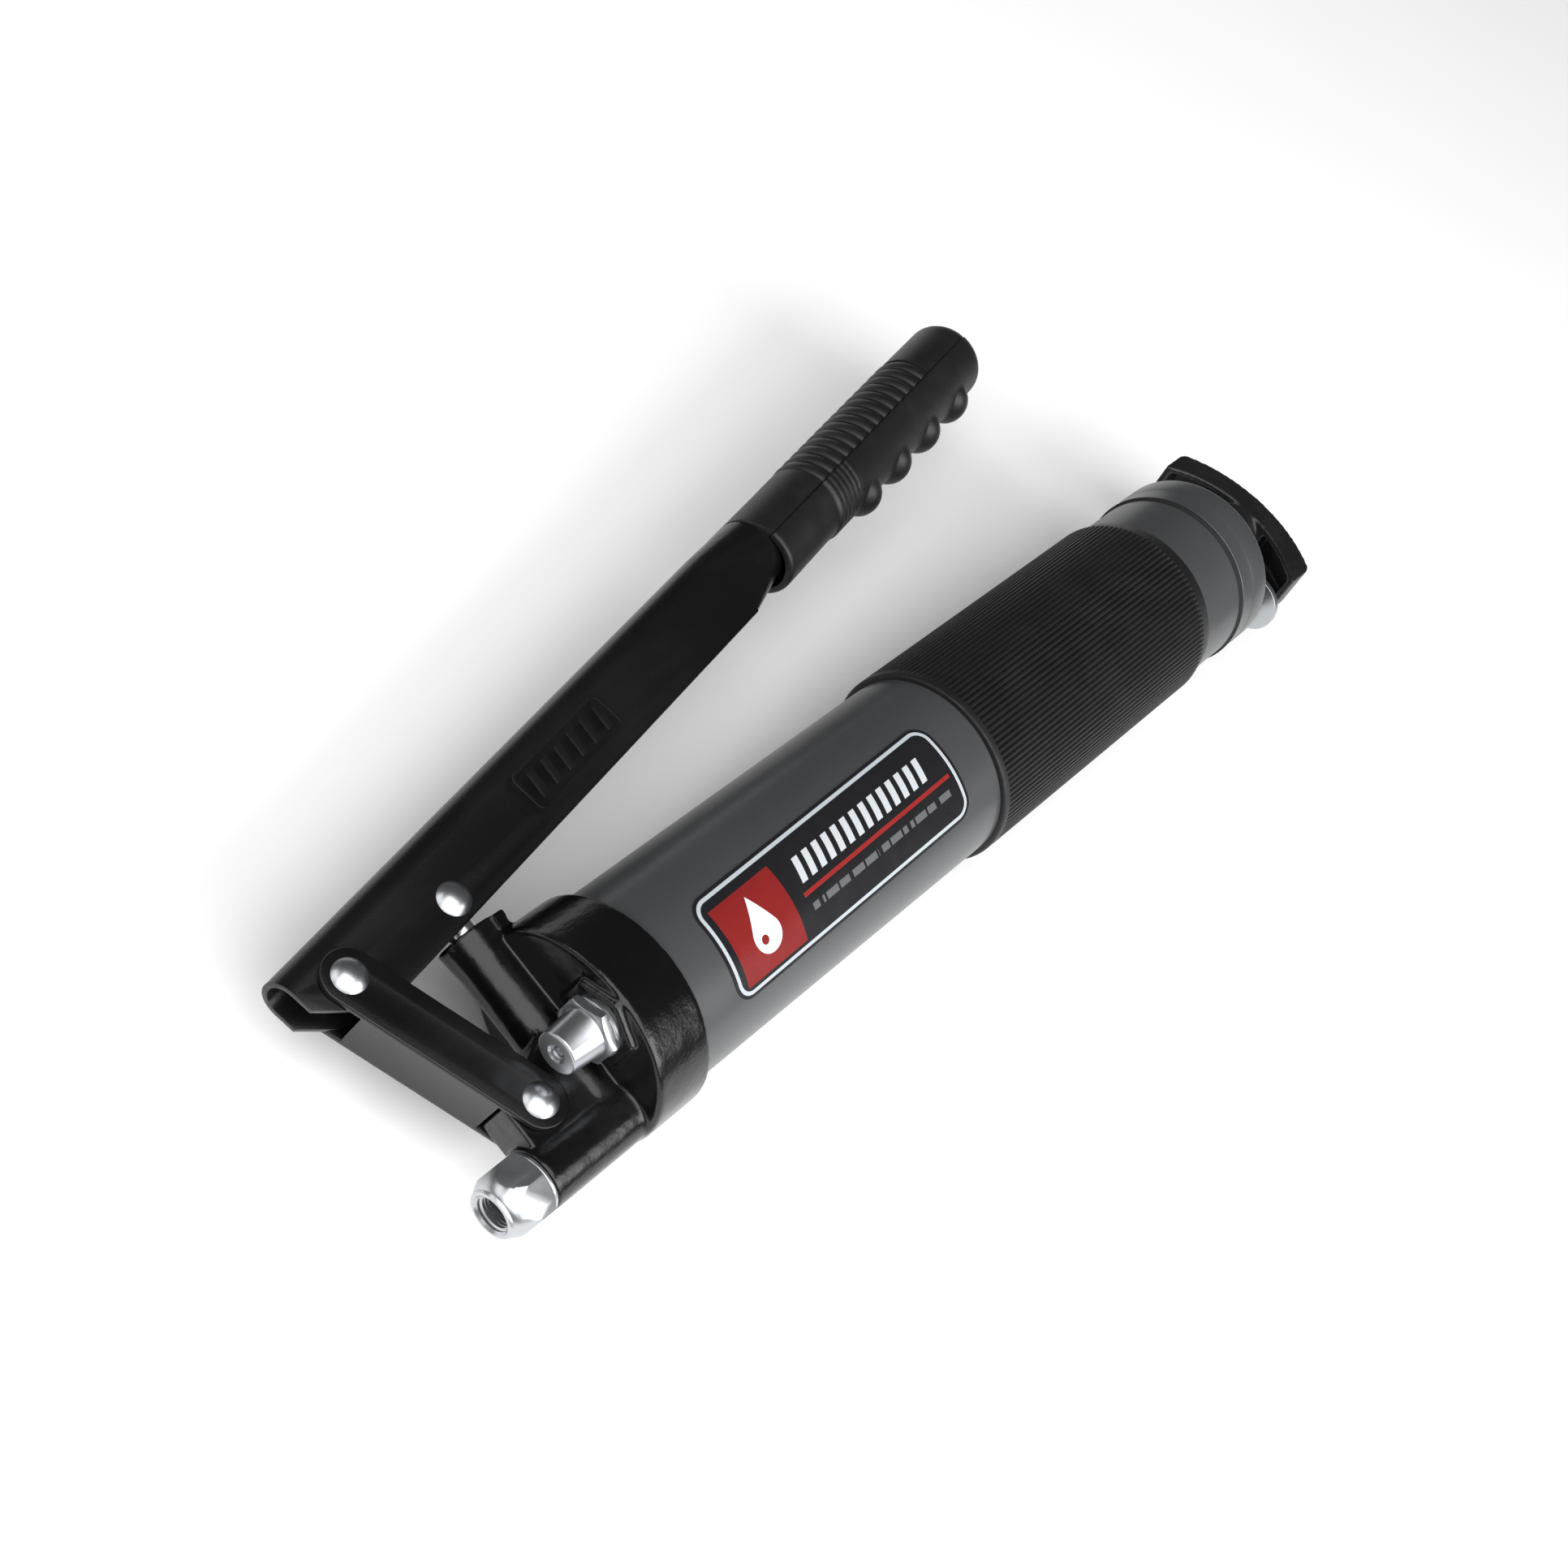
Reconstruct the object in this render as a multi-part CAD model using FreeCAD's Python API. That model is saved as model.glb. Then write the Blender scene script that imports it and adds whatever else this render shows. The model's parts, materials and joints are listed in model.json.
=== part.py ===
"""Lever grease gun, lying on its side.

Frame: the origin is the mouth of the outlet thread. +X runs back along the barrel, +Y points
to the lever side and +Z is up. The lever swings in the XY plane. All sizes are in millimetres.
"""
import FreeCAD
import Part
import math
import os

# ---------- driving sizes: barrel ----------
outlet_offset = 22.0        # barrel axis to outlet axis, along Y
tube_radius = 28.5          # outside of the barrel tube
tube_wall = 1.5
barrel_length = 293.0
cap_wall = 2.65             # head cap around the barrel thread
cap_length = 19.2
cap_floor = 5.0
cap_edge = 1.0              # fillet round the cap's front
gasket_thickness = 2.0
gasket_lip = 0.5            # how far the gasket reaches inside the tube's bore
thread_gap = 0.15           # radial, barrel thread to cap thread
fit_gap = 0.3               # general clearance between bodies
push_fit = 0.02             # clearance of pieces pushed onto each other
sleeve_start = 131.0        # cap's rear face to the sleeve
sleeve_wall = 1.7
sleeve_gap = 22.0           # sleeve to the end cap
bead_back = 14.0            # bead on the tube, from the tube's rear end
bead_height = 0.8
bead_width = 2.2

# ---------- driving sizes: end cap, rod and handle ----------
end_cap_wall = 0.7
end_cap_length = 15.0
end_cap_floor = 2.5
end_cap_edge = 1.2
latch_hub_radius = 11.0
latch_hub_length = 15.5
rod_radius = 4.0
rod_gap = 0.3
rod_seat = 14.0             # how deep the rod sits in the handle
handle_span = 57.6
handle_depth = 9.0
handle_height = 17.0
handle_bow = 9.5            # how far the middle stands behind the tips
handle_wall = 2.3
handle_hub_radius = 7.5
handle_hub_flare = 1.4
handle_turn = -10.0         # handle's turn about the rod, in degrees
handle_gap = 2.0            # latch hub to handle hub
handle_reach = 22.0         # handle hub's front to the back of the bow
handle_pin_radius = 1.5
handle_pin_back = 6.0       # handle hub's front to the pin
latch_back = 4.5            # latch's front face to the latch hub's rear end
latch_thickness = 2.0
latch_neck_wall = 1.6       # latch's neck on each side of its hole
latch_tab_radius = 10.0
latch_reach = 32.6          # rod axis to the end of the thumb tab
latch_tail = 12.0           # rod axis to the pivot end
latch_hole_gap = 0.4
latch_travel = 2.6          # room in the hub in front of the latch
latch_spring_wire = 1.0
latch_spring_turns = 4.5
latch_spring_gap = 1.6      # rod's surface to the middle of the wire
follower_gap = 0.5          # radial, rubber cup to tube bore
follower_start = 6.5        # cap floor to the cup's front lip
cup_length = 16.0
cup_lip = 4.0
cup_waist = 0.8             # how far the cup's middle stands in from its lips
cup_web = 3.0
plate_thickness = 1.5
plate_inset = 5.0           # cup's lip to the plate's edge
stack_gap = 0.15            # each side of the follower, to the nut and the rod's collar
collar_width = 2.5
collar_length = 3.0
nut_width = 13.0
nut_length = 5.0
spring_wire = 2.6
spring_turns = 20
spring_inset = 1.2          # plate's edge to the outside of the spring

# ---------- driving sizes: head ----------
plunger_radius = 4.0
plunger_fit = 0.05          # radial running clearance of the plunger
boss_wall = 3.75            # plunger boss around its bore
boss_top_flare = 0.8
boss_flare = 9.0            # height of the flared top
boss_top = 35.8             # top of the plunger boss, from the barrel axis
cap_setback = 4.0           # plunger axis to the cap's front face
rib_reach = 11.0            # rib behind the boss, from the plunger axis
rib_thickness = 10.0
outlet_boss_radius = 8.8
lug_play = 0.3              # each side, lug to link
lug_front = 8.5             # lower pivot to the lug's front face
lug_rise = 8.4              # lower pivot to the lug's top, beside the pivot
lug_back_rise = 16.0        # lower pivot to the lug's top, at the boss
filler_gap = 0.5            # link to the filler's hexagon
filler_drop = 1.8           # filler and bleeder axes, below the barrel axis
fitting_pad = 2.0
fitting_pad_width = 21.0
thread_radius = 4.9         # M10 stubs
inlet_height = 8.0
inlet_radius = 3.6
bore_bottom = -14.6         # bottom of the plunger bore, from the barrel axis
bore_end_gap = 0.6
passage_radius = 2.4
seal_section = 2.0
seal_drop = 5.5             # boss top to the lower edge of the seal

# ---------- driving sizes: fittings ----------
hex_width = 17.0
outlet_thread_radius = 4.46     # M10x1, root of the nut thread
outlet_thread_length = 11.0
outlet_length = 13.1            # mouth to the back of the hexagon
outlet_nose_radius = 6.7        # the taper starts round at the mouth
outlet_shoulder = (3.0, 8.4)    # where the taper bends: from the mouth, and its radius there
outlet_taper = 7.5              # mouth to where the hexagon's corners are full
outlet_back = 0.8               # chamfer of the corners at the back
outlet_stub = 9.6
washer_radius = 8.7
washer_thickness = 1.3
check_ball_radius = 3.2
check_chamber_radius = 4.2
check_chamber_length = 9.0
check_seat_back = 9.0           # ball seat to the plunger axis
ball_gap = 0.02
filler_nose_radius = 6.0
filler_nose_length = 9.0
filler_nose_edge = 0.8
filler_nose_straight = 4.0      # cylinder at the nose's front, with its edge
filler_nose_base = 7.3          # nose's radius at the hexagon
filler_hex_length = 4.5
filler_stub = 6.0
filler_mouth_radius = 2.2
filler_mouth_depth = 1.2
filler_seat_radius = 1.6
filler_seat_depth = 3.0
filler_ball_radius = 2.3
filler_chamber_radius = 3.0
chamber_end_wall = 2.0
bleeder_hex_width = 11.0
bleeder_wall = 2.0              # hexagon's flat to the bleeder's thread
bleeder_length = 7.0
bleeder_pin_radius = 1.5
bleeder_pin_out = 3.0
bleeder_collar = 0.7
bleeder_collar_start = 2.1      # bleeder's front face to the pin's collar

# ---------- driving sizes: lever and link ----------
lower_pivot_front = 17.0        # plunger axis to the lower rivet, towards the front
lower_pivot_height = -8.0       # lower rivet, from the barrel axis
upper_pivot_front = 36.9        # plunger axis to the upper rivet, towards the front
pivot_drop = 1.4                # plunger rivet to upper rivet, in height
pin_rise = 8.4                  # boss top to the plunger rivet, closed
lever_angle = 10.4              # lever to barrel, closed, in degrees
lever_width = 14.0
lever_sheet = 1.6
lever_back = 13.0               # pivot line to the rounded back
lever_depth = 24.7              # rounded back to the open edges
lever_nose = 12.4               # pivot to the front edge
lever_edge = 0.8                # rounding of the open edges
channel_length = 176.0          # pivot to where the channel starts to roll up
roll_length = 20.0
roll_edge = 2.2                 # rounding of the open side where the roll starts
tang_radius = 10.6
tang_drop = 0.5                 # lever's back to the tang's back
tang_flat = 0.1                 # half width of the flats left on the rolled tang
mouth_length = 12.0             # open throat between channel and tang
mouth_height = 4.5
nose_cut = (6.8, 5.8)           # sloped cut below the nose: along the lever, and its rise
nose_cut_top = 0.7              # pivot line to the top of that cut
nose_cut_end = 4.0              # pivot to the cut's rear end
link_half_width = 7.3
link_sheet = 1.8
link_play = 0.2                 # each side, between link and lever
web_low = 7.8                   # lower pivot to the link's web
web_top_gap = 7.66              # link's web to the upper pivot
rivet_radius = 2.5
rivet_head_radius = 4.8
rivet_head_height = 2.1
pin_fit = 0.05
eye_gap = 1.4                   # each side, plunger eye to the lever's inside
eye_wall = 1.8
eye_edge = 2.5
eye_neck = 1.2                  # extra height below the slot
eye_play = 0.15                 # radial, rivet in the slot
eye_slot_extra = (1.5, 0.66)    # slot longer than the pin along X, and along Y
grip_length = 125.0
grip_radius = 12.9
grip_edge = 5.0
grip_end_wall = 13.0            # rubber behind the tang's end
bump_count = 4
bump_height = 3.6
bump_pitch = 19.4
bump_end_gap = 17.0             # last finger bump to the grip's end
bump_radius = 7.2

# ---------- label ----------
label_margin = 14.0             # cap to label, and label to sleeve
label_angle = 62.0              # wrap, in degrees
label_turn = 103.5              # label's middle, from +Y towards +Z
label_thickness = 0.25

# ---------- places worked out from the sizes: head and fittings ----------
axis_y = outlet_offset
outlet_boss_start = outlet_length + washer_thickness
adapter_end_x = outlet_boss_start + outlet_stub
check_seat_x = adapter_end_x + check_chamber_length
check_ball_x = check_seat_x - math.sqrt(check_ball_radius ** 2 - passage_radius ** 2) - ball_gap
plunger_x = check_seat_x + check_seat_back
cap_front_x = plunger_x + cap_setback
cap_rear_x = cap_front_x + cap_length
floor_x = cap_front_x + cap_floor
cap_radius = tube_radius + thread_gap + cap_wall
boss_radius = plunger_radius + plunger_fit + boss_wall
seal_low = boss_top - seal_drop
fitting_x = cap_front_x - fitting_pad
filler_front_x = fitting_x - filler_hex_length - filler_nose_length
filler_ball_x = (filler_front_x + filler_seat_depth + ball_gap
                 + math.sqrt(filler_ball_radius ** 2 - filler_seat_radius ** 2))
bleeder_front_x = fitting_x - bleeder_length
bleeder_thread = bleeder_hex_width / 2 - bleeder_wall
stub_end_x = fitting_x + filler_stub

# ---------- places worked out from the sizes: lever and link ----------
plunger_pin_height = boss_top + pin_rise
link_pivot = (plunger_x - lower_pivot_front, lower_pivot_height)
lever_pivot = (plunger_x - upper_pivot_front, plunger_pin_height - pivot_drop)
link_length = math.dist(link_pivot, lever_pivot)
web_high = link_length - web_top_gap
lever_inner = lever_width - 2 * lever_sheet
link_inner = lever_width + 2 * link_play
link_outer = link_inner + 2 * link_sheet
lug_thickness = link_inner - 2 * lug_play
eye_thickness = lever_inner - 2 * eye_gap
beside_link = link_outer / 2 + filler_gap + hex_width / 2
beside_boss = boss_radius + fit_gap + hex_width / math.sqrt(3)
filler_side = max(beside_link, beside_boss)
grip_start = channel_length + roll_length
tang_length = grip_length - grip_end_wall
tang_middle = lever_back - tang_radius - tang_drop

# ---------- places worked out from the sizes: barrel, follower and handle ----------
tube_front_x = floor_x + gasket_thickness
tube_rear_x = tube_front_x + barrel_length
bore_radius = tube_radius - tube_wall
end_cap_rear_x = tube_rear_x + end_cap_floor
end_cap_front_x = end_cap_rear_x - end_cap_length
sleeve_x = cap_rear_x + sleeve_start
sleeve_end_x = end_cap_front_x - sleeve_gap
latch_hub_end_x = end_cap_rear_x + latch_hub_length
latch_x = latch_hub_end_x - latch_back
latch_neck_width = 2 * (rod_radius + latch_hole_gap + latch_neck_wall)
latch_spring_radius = rod_radius + latch_spring_gap
handle_hub_x = latch_hub_end_x + handle_gap
handle_back_x = handle_hub_x + handle_reach
follower_x = floor_x + follower_start
web_front_x = follower_x + (cup_length - cup_web) / 2
web_rear_x = web_front_x + cup_web
collar_x = web_rear_x + plate_thickness + stack_gap
nut_end_x = web_front_x - plate_thickness - stack_gap
plate_radius = bore_radius - follower_gap - plate_inset
spring_radius = plate_radius - spring_inset - spring_wire / 2

out_x = FreeCAD.Vector(1, 0, 0)
out_y = FreeCAD.Vector(0, 1, 0)
out_z = FreeCAD.Vector(0, 0, 1)


def at(x, high, z=0.0):
    """Point from its height above the barrel axis."""
    return FreeCAD.Vector(x, axis_y + high, z)


def rod_x(radius, start, end, high=0.0, z=0.0):
    return Part.makeCylinder(radius, end - start, at(start, high, z), out_x)


def rod_y(radius, low, high, x, z=0.0):
    return Part.makeCylinder(radius, high - low, at(x, low, z), out_y)


def rod_z(radius, width, x, high):
    return Part.makeCylinder(radius, width, at(x, high, -width / 2), out_z)


def cone_x(first, second, start, end, high=0.0, z=0.0):
    return Part.makeCone(first, second, end - start, at(start, high, z), out_x)


def ring_x(outer, inner, start, end, high=0.0, z=0.0):
    return rod_x(outer, start, end, high, z).cut(rod_x(inner, start - 1, end + 1, high, z))


def block(x0, x1, low, high, z0, z1):
    return Part.makeBox(x1 - x0, high - low, z1 - z0, at(x0, low, z0))


def hex_x(width, start, end, high=0.0, z=0.0):
    """Hexagonal prism along X, given its width across flats."""
    corner = width / math.sqrt(3)
    points = []
    for side in range(7):
        angle = math.radians(60 * side)
        points.append(at(start, high + corner * math.sin(angle), z + corner * math.cos(angle)))
    return Part.Face(Part.makePolygon(points)).extrude(out_x * (end - start))


def chamfered_hex_x(width, start, end, high=0.0, z=0.0, front=2.2, back=0.8):
    """Hexagonal prism whose corners are turned down at both ends."""
    corner = width / math.sqrt(3) + 0.05
    turned = rod_x(corner, start + front, end - back, high, z)
    turned = turned.fuse(cone_x(corner - front * 0.9, corner, start, start + front, high, z))
    turned = turned.fuse(cone_x(corner, corner - back * 1.2, end - back, end, high, z))
    return hex_x(width, start, end, high, z).common(turned)


def slab(points, thickness):
    """Flat polygon of (X, high) points, centred on the lever plane."""
    corners = [at(x, high, -thickness / 2) for x, high in points]
    return Part.Face(Part.makePolygon(corners + corners[:1])).extrude(out_z * thickness)


def coil_x(radius, wire, start, end, turns, high=0.0, z=0.0):
    """Round-wire spring along X between two planes."""
    length = end - start - wire
    path = Part.makeHelix(length / turns, length, radius)
    profile = Part.Wire(Part.makeCircle(wire / 2, FreeCAD.Vector(radius, 0, 0), out_y))
    spring = path.makePipeShell([profile], True, True)
    spring.rotate(FreeCAD.Vector(0, 0, 0), out_y, 90)
    spring.translate(at(start + wire / 2, high, z))
    return spring


def rivet(x, high, span):
    """Domed rivet through a stack of the given thickness."""
    body = rod_z(rivet_radius, span, x, high)
    ball = (rivet_head_radius ** 2 + rivet_head_height ** 2) / (2 * rivet_head_height)
    for side in (1, -1):
        centre = at(x, high, side * (span / 2 + rivet_head_height - ball))
        head = Part.makeSphere(ball, centre)
        plane = block(x - 20, x + 20, high - 20, high + 20, span / 2, span / 2 + 20)
        if side < 0:
            plane = block(x - 20, x + 20, high - 20, high + 20, -span / 2 - 20, -span / 2)
        body = body.fuse(head.common(plane))
    return body.removeSplitter()


def along(origin, angle, run, rise):
    """(X, high) of a point given along and across a direction."""
    turn = math.radians(angle)
    return (origin[0] + run * math.cos(turn) - rise * math.sin(turn),
            origin[1] + run * math.sin(turn) + rise * math.cos(turn))


# ---------- head ----------
def head_casting():
    body = rod_x(cap_radius, cap_front_x, cap_rear_x)
    edges = [e for e in body.Edges if abs(e.BoundBox.XMax - cap_front_x) < 0.01
             and abs(e.BoundBox.XMin - cap_front_x) < 0.01]
    body = body.makeFillet(cap_edge, edges)
    outlet = -outlet_offset
    body = body.fuse(rod_x(outlet_boss_radius, outlet_boss_start, floor_x, outlet))
    straight = rod_y(boss_radius, outlet, boss_top - boss_flare, plunger_x)
    flare = Part.makeCone(boss_radius, boss_radius + boss_top_flare, boss_flare,
                          at(plunger_x, boss_top - boss_flare), out_y)
    body = body.fuse([straight, flare])
    pivot_x, pivot_high = link_pivot
    front, top = pivot_x - lug_front, pivot_high + lug_rise
    corner = lug_front / 2
    lug = slab([(front, outlet), (front, top - corner), (front + corner, top - corner / 3),
                (front + 2.5 * corner, top), (plunger_x, pivot_high + lug_back_rise),
                (floor_x, pivot_high + lug_back_rise), (floor_x, outlet)], lug_thickness)
    body = body.fuse(lug)
    rib = slab([(plunger_x, outlet), (plunger_x, boss_top), (plunger_x + rib_reach, boss_top),
                (floor_x, boss_top - boss_flare), (floor_x, outlet)], rib_thickness)
    body = body.fuse(rib)
    for side in (filler_side, -filler_side):
        body = body.fuse(hex_x(fitting_pad_width, fitting_x, floor_x, -filler_drop, side))
    body = body.cut(rod_x(tube_radius + thread_gap, floor_x, cap_rear_x + 1))
    body = body.cut(rod_y(plunger_radius + plunger_fit, bore_bottom, boss_top + 1, plunger_x))
    body = body.cut(rod_y(passage_radius, outlet, bore_bottom + 1, plunger_x))
    body = body.cut(rod_x(passage_radius, check_seat_x - 1, plunger_x + passage_radius, outlet))
    body = body.cut(rod_x(check_chamber_radius, adapter_end_x, check_seat_x, outlet))
    body = body.cut(rod_x(thread_radius, outlet_boss_start - 1, adapter_end_x, outlet))
    body = body.cut(rod_x(inlet_radius, plunger_x, floor_x + 1, inlet_height))
    body = body.cut(rod_x(thread_radius, fitting_x - 1, floor_x + 1, -filler_drop, filler_side))
    body = body.cut(rod_x(bleeder_thread, fitting_x - 1, floor_x + 1, -filler_drop, -filler_side))
    groove = plunger_radius + plunger_fit + seal_section - 0.2
    body = body.cut(rod_y(groove, seal_low, seal_low + seal_section, plunger_x))
    return body.cut(rod_z(rivet_radius + pin_fit, lug_thickness + 2, *link_pivot))


def plunger_seal():
    wire = seal_section / 2 - 0.1
    centre = at(plunger_x, seal_low + seal_section / 2)
    return Part.makeTorus(plunger_radius + plunger_fit + wire, wire, centre, out_y)


def barrel_gasket():
    return ring_x(tube_radius - 0.1, bore_radius - gasket_lip, floor_x, tube_front_x)


def outlet_adapter():
    outlet = -outlet_offset
    corner = hex_width / math.sqrt(3) + 0.05
    shoulder, shoulder_radius = outlet_shoulder
    full_end = outlet_length - outlet_back
    turned = rod_x(corner, outlet_taper, full_end, outlet)
    turned = turned.fuse(cone_x(outlet_nose_radius, shoulder_radius, 0, shoulder, outlet))
    turned = turned.fuse(cone_x(shoulder_radius, corner, shoulder, outlet_taper, outlet))
    turned = turned.fuse(cone_x(corner, corner - outlet_back * 1.2, full_end, outlet_length, outlet))
    body = hex_x(hex_width, 0, outlet_length, outlet).common(turned)
    body = body.fuse(rod_x(thread_radius, outlet_thread_length + 1, adapter_end_x, outlet))
    body = body.cut(rod_x(outlet_thread_radius, 0, outlet_thread_length, outlet))
    body = body.cut(rod_x(passage_radius, 1, adapter_end_x + 1, outlet))
    return body.removeSplitter()


def outlet_washer():
    start = outlet_boss_start - washer_thickness
    return ring_x(washer_radius, thread_radius, start, outlet_boss_start, -outlet_offset)


def check_ball():
    return Part.makeSphere(check_ball_radius, at(check_ball_x, -outlet_offset))


def check_spring():
    wire, turns = 0.6, 3
    radius = check_ball_radius - wire
    touch = check_ball_x - math.sqrt(check_ball_radius ** 2 - radius ** 2)
    return coil_x(radius, wire, adapter_end_x + 0.05, touch - wire / 2, turns, -outlet_offset)


def filler_valve_body():
    z, high, front = filler_side, -filler_drop, filler_front_x
    hex_start = front + filler_nose_length
    edge = filler_nose_edge
    taper_start = front + filler_nose_straight
    body = rod_x(filler_nose_radius, front + edge, taper_start, high, z)
    body = body.fuse(cone_x(filler_nose_radius - edge, filler_nose_radius, front, front + edge, high, z))
    body = body.fuse(cone_x(filler_nose_radius, filler_nose_base, taper_start, hex_start, high, z))
    body = body.fuse(chamfered_hex_x(hex_width, hex_start, fitting_x, high, z, front=1.0, back=0.4))
    body = body.fuse(rod_x(thread_radius, hex_start + 1, stub_end_x, high, z))
    seat, chamber_end = front + filler_seat_depth, stub_end_x - chamber_end_wall
    body = body.cut(rod_x(filler_mouth_radius, front - 1, front + filler_mouth_depth, high, z))
    body = body.cut(rod_x(filler_seat_radius, front, seat, high, z))
    body = body.cut(rod_x(filler_chamber_radius, seat, chamber_end, high, z))
    body = body.cut(rod_x(filler_seat_radius + 0.3, seat + 1, stub_end_x + 1, high, z))
    return body.removeSplitter()


def filler_ball():
    return Part.makeSphere(filler_ball_radius, at(filler_ball_x, -filler_drop, filler_side))


def filler_spring():
    wire, turns = 0.5, 6
    start = filler_ball_x + filler_ball_radius - 0.2
    end = stub_end_x - chamber_end_wall - 0.05
    return coil_x(filler_chamber_radius - 2 * wire, wire, start, end, turns, -filler_drop, filler_side)


def bleeder_body():
    high, z = -filler_drop, -filler_side
    front, bore = bleeder_front_x, bleeder_pin_radius + 0.1
    body = chamfered_hex_x(bleeder_hex_width, front, fitting_x, high, z, 0.8, 0.4)
    body = body.fuse(rod_x(bleeder_thread, fitting_x - 1, stub_end_x, high, z))
    body = body.cut(rod_x(bore, front - 1, stub_end_x + 1, high, z))
    chamber_end = stub_end_x - chamber_end_wall
    body = body.cut(rod_x(bore + bleeder_collar, front + 2, chamber_end, high, z))
    return body.removeSplitter()


def bleeder_pin():
    high, z = -filler_drop, -filler_side
    collar = bleeder_front_x + bleeder_collar_start
    end = stub_end_x - chamber_end_wall - 0.5
    pin = rod_x(bleeder_pin_radius, bleeder_front_x - bleeder_pin_out, end, high, z)
    return pin.fuse(rod_x(bleeder_pin_radius + bleeder_collar, collar, collar + 1.0, high, z))


def bleeder_spring():
    wire, turns = 0.35, 6
    start = bleeder_front_x + bleeder_collar_start + 1.05
    end = stub_end_x - chamber_end_wall - 0.05
    return coil_x(bleeder_pin_radius + 0.4, wire, start, end, turns, -filler_drop, -filler_side)


# ---------- link and lever ----------
def link_angle():
    return math.degrees(math.atan2(lever_pivot[1] - link_pivot[1], lever_pivot[0] - link_pivot[0]))


def link():
    length = math.dist(link_pivot, lever_pivot)
    half = link_half_width
    corners = [along(link_pivot, link_angle(), run, rise)
               for run, rise in ((0, half), (length, half), (length, -half), (0, -half))]
    body = slab(corners, link_outer)
    body = body.fuse(rod_z(half, link_outer, *link_pivot))
    body = body.fuse(rod_z(half, link_outer, *lever_pivot))
    web_edge = half - link_sheet
    far = 3 * half
    inside = [along(link_pivot, link_angle(), run, rise)
              for run, rise in ((-far, -far), (length + far, -far), (length + far, web_edge),
                                (-far, web_edge))]
    body = body.cut(slab(inside, link_inner))
    for start, end in ((-far, web_low), (web_high, length + far)):
        window = [along(link_pivot, link_angle(), run, rise)
                  for run, rise in ((start, -far), (end, -far), (end, far), (start, far))]
        body = body.cut(slab(window, link_inner))
    for pivot in (link_pivot, lever_pivot):
        body = body.cut(rod_z(rivet_radius, link_outer + 2, *pivot))
    return body.removeSplitter()


def lower_link_rivet():
    return rivet(*link_pivot, link_outer)


def upper_link_rivet():
    return rivet(*lever_pivot, link_outer)


def plunger_rivet():
    return rivet(plunger_x, plunger_pin_height, lever_width)


def lever_section(run, width, back, front, back_radius, front_radius):
    """Closed cross-section of the lever: rounded rectangle across the lever at a given run."""
    half = width / 2
    angle = math.radians(lever_angle)
    centre = FreeCAD.Vector(lever_pivot[0], axis_y + lever_pivot[1], 0)
    forward = FreeCAD.Vector(math.cos(angle), math.sin(angle), 0)
    upward = FreeCAD.Vector(-math.sin(angle), math.cos(angle), 0)

    def point(rise, z):
        return centre + forward * run + upward * rise + out_z * z

    corners = ((back, half, back_radius, -1, -1), (front, half, front_radius, 1, -1),
               (front, -half, front_radius, 1, 1), (back, -half, back_radius, -1, 1))
    arcs = []
    for place, (rise, z, radius, up, side) in enumerate(corners):
        bend = radius * (1 - math.sqrt(0.5))
        on_end = point(rise, z + side * radius)
        on_side = point(rise + up * radius, z)
        middle = point(rise + up * bend, z + side * bend)
        ends = (on_end, middle, on_side) if place % 2 == 0 else (on_side, middle, on_end)
        arcs.append(Part.Arc(*ends).toShape())
    edges = []
    for place, arc in enumerate(arcs):
        edges.append(arc)
        after = arcs[(place + 1) % 4]
        edges.append(Part.makeLine(arc.Vertexes[-1].Point, after.Vertexes[0].Point))
    return Part.Wire(edges)


def lever_shell(inset):
    """Lever body as a solid, drawn in by the inset: channel, rolled-up stretch and round tang."""
    width, back = lever_width - 2 * inset, lever_back - inset
    open_edge = lever_back - lever_depth
    radius = tang_radius - inset
    back_round = width / 2 - 0.3
    past = 1.0 if inset else 0.0            # the hollow runs out past the ends
    below = 8.0 if inset else 0.0           # and past the open edges
    flat = [lever_section(run, width, back, open_edge - below, back_round, lever_edge)
            for run in (-lever_nose - past, channel_length)]
    rolled_from = lever_section(channel_length, width, back, open_edge + inset, back_round,
                                roll_edge)
    rolled_to, tang = [lever_section(run, 2 * radius, tang_middle + radius, tang_middle - radius,
                                     radius - tang_flat, radius - tang_flat)
                       for run in (grip_start, grip_start + tang_length + past)]
    body = Part.makeLoft(flat, True, True)
    body = body.fuse(Part.makeLoft([rolled_from, rolled_to], True, True))
    return body.fuse(Part.makeLoft([rolled_to, tang], True, True))


def lever():
    body = lever_shell(0.0).cut(lever_shell(lever_sheet))
    low = lever_back - lever_depth
    cut_run, cut_rise = nose_cut
    trim = [along(lever_pivot, lever_angle, run, rise) for run, rise in
            ((-lever_nose - 5, nose_cut_top), (-lever_nose, nose_cut_top),
             (-lever_nose + cut_run, -cut_rise), (nose_cut_end, low - 0.2),
             (nose_cut_end, low - 30), (-lever_nose - 5, low - 30))]
    body = body.cut(slab(trim, lever_width + 10))
    mouth = [along(lever_pivot, lever_angle, run, rise) for run, rise in
             ((channel_length - 1, low - 5), (channel_length + mouth_length, low - 5),
              (channel_length, low + mouth_height), (channel_length - 1, low + mouth_height))]
    body = body.cut(slab(mouth, lever_inner - 2))
    body = body.cut(rod_z(rivet_radius + pin_fit, lever_width + 2, *lever_pivot))
    body = body.cut(rod_z(rivet_radius, lever_width + 2, plunger_x, plunger_pin_height))
    return body.removeSplitter()


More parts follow.
